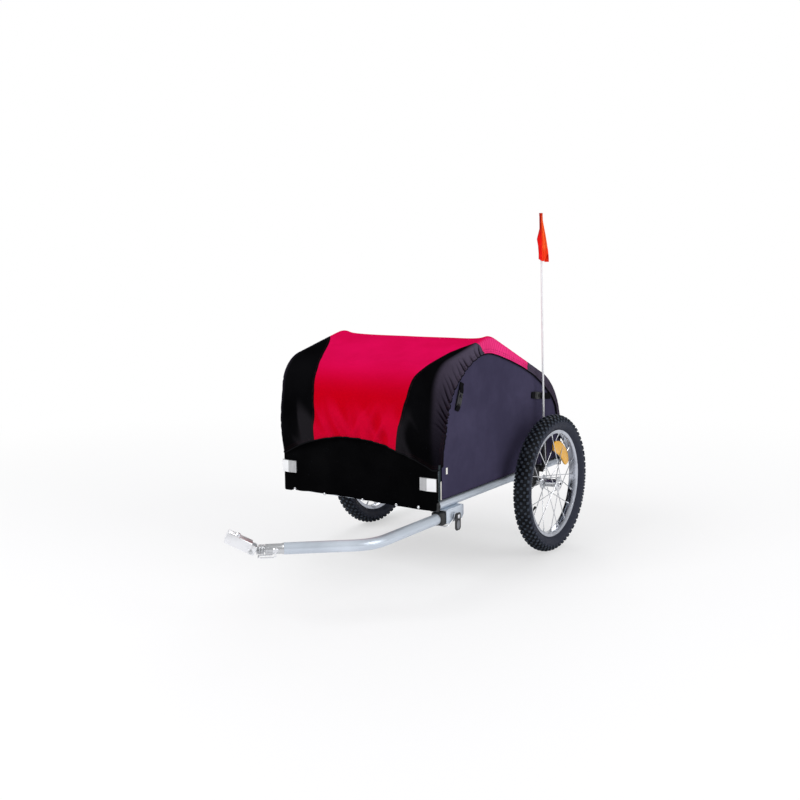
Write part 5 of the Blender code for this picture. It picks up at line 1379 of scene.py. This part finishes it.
def wrapped(made, grip, radius, bends, bend, matrix):
    """Adds a wire wound once round local Z, whose leg then runs through the given points."""
    loop = grip + 0.0003 + radius
    coil = [polar(loop, 60 + 10 * k, 0.0014 * (k / 30 - 0.5)) for k in range(31)]
    leg = rounded(coil[-1:] + [Vector(b) for b in bends], [bend] * (len(bends) - 1), 10)
    swept(made, [(*coil[0], 0.75), *map(tuple, coil[1:] + leg[1:])], radius, 14, matrix)


def shield(half, top, foot, upper, lower):
    """Outline of the tab: (across, up) points from the middle of its top and back to it."""
    points = [(0, top), (half, top), (half, foot), (-half, foot), (-half, top), (0, top)]
    return rounded(points, [upper, lower, lower, upper], 10)[:-1]


WIRE_TURN = Matrix.Translation((0, 0, PIN_HALF + 0.0025)) @ Matrix.Rotation(math.radians(-63), 4, "Z")
made = bmesh.new()
wrapped(made, PIN_R, 0.0020, [(0.046, 0, 0), (0.046, 0, -0.037)], 0.009, PIN_FRAME @ WIRE_TURN)
piece("lock_pin_wire", made, WHITE_ZINC, "lock_pin_ring", "lock_pin_ring")
low, high = span("lock_pin_tab")
made = bmesh.new()
outline = shield(0.013, 0.009, -0.038, 0.008, 0.009)
raised(made, [(low.x, PIN_Y + p.x, ARM_Z + p.y) for p in outline], (high.x - low.x, 0, 0))
softened(made, sharp(made, 0.9), 0.0008, 3)
lip = [(high.x - 0.0002, PIN_Y + 0.0088 * math.cos(a), ARM_Z - 0.0228 + 0.0125 * math.sin(a))
       for a in (math.tau * k / 40 for k in range(41))]
swept(made, lip, 0.0008, 8)
piece("lock_pin_pull_tab", made, BLACK_PLASTIC, "lock_pin_tab", "lock_pin_tab")
GREY_PLASTIC = plastic_finish("grey_nylon", seen(112, 114, 120), 0.5)
made = bmesh.new()
outline = shield(0.0078, -0.0110, -0.0345, 0.006, 0.0066)
raised(made, [(high.x - 0.0010, PIN_Y + p.x, ARM_Z + p.y) for p in outline], (0.0013, 0, 0))
piece("lock_pin_tab_inlay", made, GREY_PLASTIC, "lock_pin_tab")

# Hitch
# A turned steel plug in the arm's end, held by a cross pin with its own wire bail, carries a close
# spring that lets the knuckle swing; a folded clamp on the knuckle, with a bolt, grips what tows it.
HITCH = Matrix.Translation(ARM_END) @ Matrix.Rotation(-math.pi / 2 - ARM_ANGLE, 4, "Z")
OUT_X = Matrix.Rotation(math.pi / 2, 4, "Y")
PLUG_R, PLUG_END, PIN_AT = 0.0122, 0.044, 0.020
SPRING_LONG, COIL_R, SPRING_WIRE = 0.018, 0.0106, 0.0014
# the end of plug and knuckle that stands in the spring: radius, and how far out
SPIGOT = ((0, 0.004), (0.0064, 0.004), (0.0070, 0.0034), (0.0070, 0), (0.0099, 0), (PLUG_R, -0.0006))
ZINC = steel_finish("zinc_plate", seen(205, 207, 210), 0.28)


def washer(inner, outer, thick, slope):
    """Profile of a washer, sunk 1 mm into what it lies on."""
    return [(inner, thick), (outer - 0.0004, thick), (outer, thick - slope), (outer, -0.001), (inner, -0.001)]


made = bmesh.new()
plug = [(r, PLUG_END + out) for r, out in SPIGOT]
plug += [(PLUG_R, PLUG_END - 0.0050), (PLUG_R - 0.0006, PLUG_END - 0.0056),
         (PLUG_R - 0.0006, PLUG_END - 0.0074), (PLUG_R, PLUG_END - 0.0080), (PLUG_R, 0.0060),
         (0.0136, 0.0012), (0.0138, 0.0003), (0.0118, 0.0003), (0.0118, -0.030), (0, -0.030)]
spun(made, plug, 48, HITCH @ OUT_X)
for way in (-1, 1):
    flat = HITCH @ along((PIN_AT, way * (PLUG_R - 0.0006), 0), (PIN_AT, way, 0))
    spun(made, washer(0.0033, 0.0056, 0.0005, 0.0005), 28, flat)
piece("hitch_plug_turned", made, ZINC, "frame", "hitch_plug")
made = bmesh.new()
spun(made, [(0, 0.0180), (0.0052, 0.0180), (0.0060, 0.0172), (0.0060, 0.0162), (0.0054, 0.0155),
            (0.0030, 0.0155), (0.0030, -0.0145), (0.0024, -0.0158), (0.0015, -0.0165), (0, -0.0165)],
     32, HITCH @ along((PIN_AT, 0, 0), (PIN_AT, 1, 0)))
piece("hitch_pin_shaft", made, BRIGHT, "hitch_pin", "hitch_pin")
ON_PIN = Matrix.Translation((PIN_AT, 0, 0)) @ Matrix(((0, -1, 0), (0, 0, 1), (-1, 0, 0))).to_4x4()
made = bmesh.new()
wrapped(made, 0.003, 0.0017, [(0.0165, 0, 0), (0.0165, -0.040, 0), (0.0165, -0.040, -0.021),
                              (0.0165, -0.007, -0.021)], 0.004,
        HITCH @ ON_PIN @ Matrix.Translation((0, 0, PLUG_R + 0.0025)))
piece("hitch_pin_wire", made, WHITE_ZINC, "hitch_pin_bail", "hitch_pin_bail")
FLANGE = PLUG_END + SPRING_LONG
made = bmesh.new()
coil = []
for k in range(129):
    turn = math.tau * k / 32
    out = PLUG_END + 0.0017 + (SPRING_LONG - 0.0034) * k / 128
    coil.append((out, COIL_R * math.cos(turn), COIL_R * math.sin(turn)))
swept(made, coil, SPRING_WIRE, 14, HITCH)
spring = piece("hitch_spring_wire", made, ZINC, None, "hitch_spring")
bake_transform(spring)

PIVOT, PIVOT_HALF = FLANGE + 0.015, 0.0137
made = bmesh.new()
knuckle = [(0, PIVOT - 0.0003), (0.0060, PIVOT - 0.0003), (0.0060, FLANGE + 0.0035),
           (0.0068, FLANGE + 0.0026), (0.0099, FLANGE + 0.0025), (PLUG_R, FLANGE + 0.0019)]
knuckle += [(r, FLANGE - out) for r, out in reversed(SPIGOT)]
spun(made, knuckle, 44, HITCH @ OUT_X)
barrel = [(0, 0.0274), (0.0064, 0.0274), (0.0070, 0.0268), (0.0070, 0.0006), (0.0064, 0), (0, 0)]
spun(made, barrel, 40, HITCH @ along((PIVOT, -PIVOT_HALF, 0), (PIVOT, 1, 0)))
rivet = [(0, 0.0066), (0.0040, 0.0066), (0.0052, 0.0058), (0.0052, 0.0036), (0.0030, 0.0036), (0.0030, 0),
         (0, 0)]
for way in (-1, 1):
    spun(made, rivet, 32, HITCH @ along((PIVOT, way * PIVOT_HALF, 0), (PIVOT, way * 2, 0)))
piece("hitch_knuckle_turned", made, ZINC, "hitch_knuckle", "hitch_knuckle")

CLAMP = HITCH @ Matrix.Translation((PIVOT, 0, 0)) @ Matrix.Rotation(math.radians(-28), 4, "Y")
CLAMP_HALF, CLAMP_TOP, CLAMP_LOW, CLAMP_START, CLAMP_TIP = 0.017, 0.019, -0.007, 0.0042, 0.066
BOLT_AT = 0.042
made = bmesh.new()
outline = channel(CLAMP_HALF, -CLAMP_HALF, CLAMP_LOW, CLAMP_TOP)
raised(made, [(CLAMP_START, y, z) for y, z in outline], (CLAMP_TIP - CLAMP_START, 0, 0))
softened(made, sharp(made, 0.7), 0.0006)
twins(made, (-0.010, CLAMP_HALF - PLATE, CLAMP_LOW), (0.0050, CLAMP_HALF, CLAMP_TOP - 0.0035), 0.0012, 3)
for way in (-1, 1):
    spun(made, washer(0.0034, 0.0074, 0.0003, 0.0003), 32, along((0, way * CLAMP_HALF, 0), (0, way, 0)))
spun(made, washer(0.0033, 0.0082, 0.0005, 0.0003), 36, Matrix.Translation((BOLT_AT, 0, CLAMP_TOP)))
made.transform(CLAMP)
piece("hitch_clamp_folded", made, WHITE_ZINC, "hitch_clamp", "hitch_clamp")
made = bmesh.new()
seat = CLAMP_TOP + 0.0006
spun(made, [(0, 0.0), (0.0030, 0.0), (0.0030, -0.019), (0.0024, -0.020), (0, -0.020)], 24,
     Matrix.Translation((BOLT_AT, 0, seat)))
for k in range(12):
    spun(made, [(0.0029, 0.0), (0.0032, -0.0004), (0.0029, -0.0008)], 20,
         Matrix.Translation((BOLT_AT, 0, seat - 0.008 - k * 0.0009)))
hexagon(made, 0.0058, 0.0042, 0.0005, 2, Matrix.Translation((BOLT_AT, 0, seat + 0.0021)))
made.transform(CLAMP)
piece("hitch_clamp_hex_bolt", made, BRIGHT, "hitch_clamp_bolt", "hitch_clamp_bolt")

# Flag
# A white fibreglass pole stands in a nylon socket clipped round the left rail. Its safety pennant
# of thin orange nylon hangs furled down the pole.
LEAN = math.radians(2.57)
POLE_FOOT, UP = Vector((0.28, 0.034, 0.2435)), Vector((0, -math.sin(LEAN), math.cos(LEAN)))
FLAG_TALL, FLAG_WIDE = 0.139, 0.075
SPREAD, NEARER = Vector((math.cos(YAW), math.sin(YAW), 0)), Vector((math.sin(YAW), -math.cos(YAW), 0))
# share of the flag's height from its foot, and how far it reaches to the left and right there
FLAG_LEFT = ((0, -0.0085), (0.15, -0.0082), (0.3, -0.0095), (0.46, -0.0125), (0.58, -0.0085),
             (0.68, -0.0048), (0.92, -0.0046), (1, -0.0052))
FLAG_RIGHT = ((0, 0.0195), (0.15, 0.0188), (0.35, 0.0158), (0.55, 0.0120), (0.72, 0.0080),
              (0.85, 0.0052), (0.95, 0.0046), (1, 0.0050))
# share of its width, and how far its lower edge is drawn up there
FLAG_LIFT = ((0, 0.010), (0.12, 0.009), (0.24, 0.008), (0.38, 0.003), (0.5, 0.002), (0.58, 0.006),
             (0.66, 0.014), (0.76, 0.023), (0.82, 0.020), (0.88, 0.0), (1, 0.0))


def up_pole(z):
    """Place on the pole's axis at a height."""
    return POLE_FOOT + UP * ((z - POLE_FOOT.z) / UP.z)


def pole_finish():
    """White fibreglass rod with the faint length of its fibres."""
    look = Finish("white_fibreglass", "white_pole", seen(228, 229, 232), 0.35, Coat_Weight=0.3)
    fibre = look.noise(600, 3, 0.6, (1, 1, 0.02))
    grime = look.noise(12, 4).between(0.5, 0.8)
    look.set(Base_Color=look.mix(grime * 0.3 + fibre * 0.1, seen(230, 231, 234), seen(196, 196, 196)))
    look.set(Roughness=0.3 + fibre * 0.2)
    look.bump((fibre, 0.0002))
    return look


made = bmesh.new()
socket_low, socket_top = POLE_FOOT - UP * 0.0045, up_pole(0.385)
long = (socket_top - socket_low).length
spun(made, [(0.0033, long), (0.0066, long), (0.0072, long - 0.0008), (0.0072, long - 0.010),
            (0.0078, long - 0.012), (0.0078, 0.0008), (0.0070, 0), (0, 0)], 36, along(socket_low, socket_top))
rail_side = RAIL_X + RAIL_R
block(made, (RAIL_X - RAIL_R - 0.0015, 0.0235, CORNER_LOW), (rail_side + 0.003, 0.0435, CORNER_HIGH), 0.003)
block(made, (rail_side, 0.0255, RAIL_Z - 0.003), (POLE_FOOT.x, 0.0415, CORNER_HIGH), 0.002, 2)
screw_head(made, (rail_side + 0.0029, 0.0335, RAIL_Z - 0.006), (1, 0, 0), 0.003)
rib = [(0.0080, 0.001), (0.0083, 0.0005), (0.0083, -0.0005), (0.0080, -0.001)]
for k in range(4):
    at = (socket_top - socket_low) * (0.25 + 0.2 * k) + socket_low
    spun(made, rib, 36, along(at, at + UP))
piece("flag_socket_moulding", made, BLACK_PLASTIC, "frame", "flag_socket")

made = bmesh.new()
pole_low, pole_top = POLE_FOOT + UP * 0.0003, up_pole(0.978)
long = (pole_top - pole_low).length
spun(made, [(0, long), (0.0022, long), (0.0030, long - 0.0010), (0.0030, 0.0006), (0.0026, 0), (0, 0)], 24,
     along(pole_low, pole_top))
piece("flag_pole_rod", made, pole_finish(), "flag", "flag_pole")


def flag_fold(t):
    """Plan of the furled cloth at a share of its height, from the left fold over the front to the right."""
    left, right = follow(FLAG_LEFT, t), follow(FLAG_RIGHT, t)
    loose, lowest = 1 - smooth(0.55, 0.95, t), 1 - smooth(0.05, 0.22, t)
    points = [(0.0015, -0.0040), (left * 0.55, -0.0042), (left, 0.0005), (left * 0.55, 0.0044),
              (-0.0004, 0.0046 + 0.0016 * loose), (right * 0.28, 0.0042 - 0.0016 * loose),
              (right * 0.52, 0.0040 + 0.0030 * loose), (right * 0.74, 0.0026 + 0.0006 * loose),
              (right, 0.0024 + 0.0016 * loose), (right * (0.80 + 0.24 * lowest), -0.0006),
              (right * 0.45, -0.0026 - 0.0010 * loose)]
    return [Vector(p) for p in points]


def flag_place(u, v):
    """Furled pennant: narrow at its sleeve, fuller and ragged at its lower end."""
    points = flag_fold(v)
    last = len(points) - 1
    k = min(int(u * last), last - 1)
    f = u * last - k
    a, b, c, d = (points[within(k + step, 0, last)] for step in (-1, 0, 1, 2))
    bend, twist = 2 * a - 5 * b + 4 * c - d, 3 * b - a - 3 * c + d
    plan = 0.5 * (2 * b + (c - a) * f + bend * f * f + twist * f ** 3)
    hang = FLAG_TALL * v + follow(FLAG_LIFT, u) * (1 - v) ** 3
    stir = 0.0010 * noise.noise((u * 6, v * 7, 2))
    spot = flag_frame @ Vector((0, 0, hang)) + SPREAD * plan.x + NEARER * (plan.y + stir)
    return spot, (u * FLAG_WIDE, v * FLAG_TALL)


def flag_finish():
    """Thin nylon, deep red where it lies doubled and orange where the light comes through."""
    look = Finish("orange_nylon", "orange_cloth", seen(236, 40, 20), 0.55, Specular_IOR_Level=0.08)
    u, v = look.cloth()
    share, tall = u / FLAG_WIDE, v / FLAG_TALL
    fade = look.noise(40, 4, 0.6).between(0.35, 0.7)
    colour = look.mix(tall.between(0.45, 0.75), seen(226, 10, 12), seen(150, 14, 6))
    # Painted light and shade: the orange band is light coming through the single layer, the brown line beside
    # it is a painted shadow in the valley between layers, and the dark red down the left fold is painted
    # shade.
    for mask, tone in (
            (share.between(0.40, 0.50) * (1 - tall.between(0.86, 0.98) * 0.6), (255, 104, 46)),
            (share.between(0.60, 0.66) * (1 - share.between(0.70, 0.76)) * 0.6, (196, 70, 10)),
            ((1 - share.between(0.20, 0.27)) * 0.8, (150, 0, 16)),
            (share.between(0.80, 0.86) * 0.9, (232, 52, 8)),
            ((1 - tall.between(0.16, 0.30)) * share.between(0.4, 0.5) * 0.7, (236, 34, 4)),
            (fade * 0.2, (240, 40, 20))):
        colour = look.mix(mask, colour, seen(*tone))
    look.set(Base_Color=colour)
    look.bump((look.noise(110, 4), 0.0008), (woven(u, v, 0.0009), 0.00015))
    return look


flag_frame = along(up_pole(0.846), up_pole(0.985))
flag_cloth = mapped("flag_cloth", 100, 70, flag_place, flag_finish(), "flag", "flag", 0.0004, (1, 0, 0))

low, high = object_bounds()
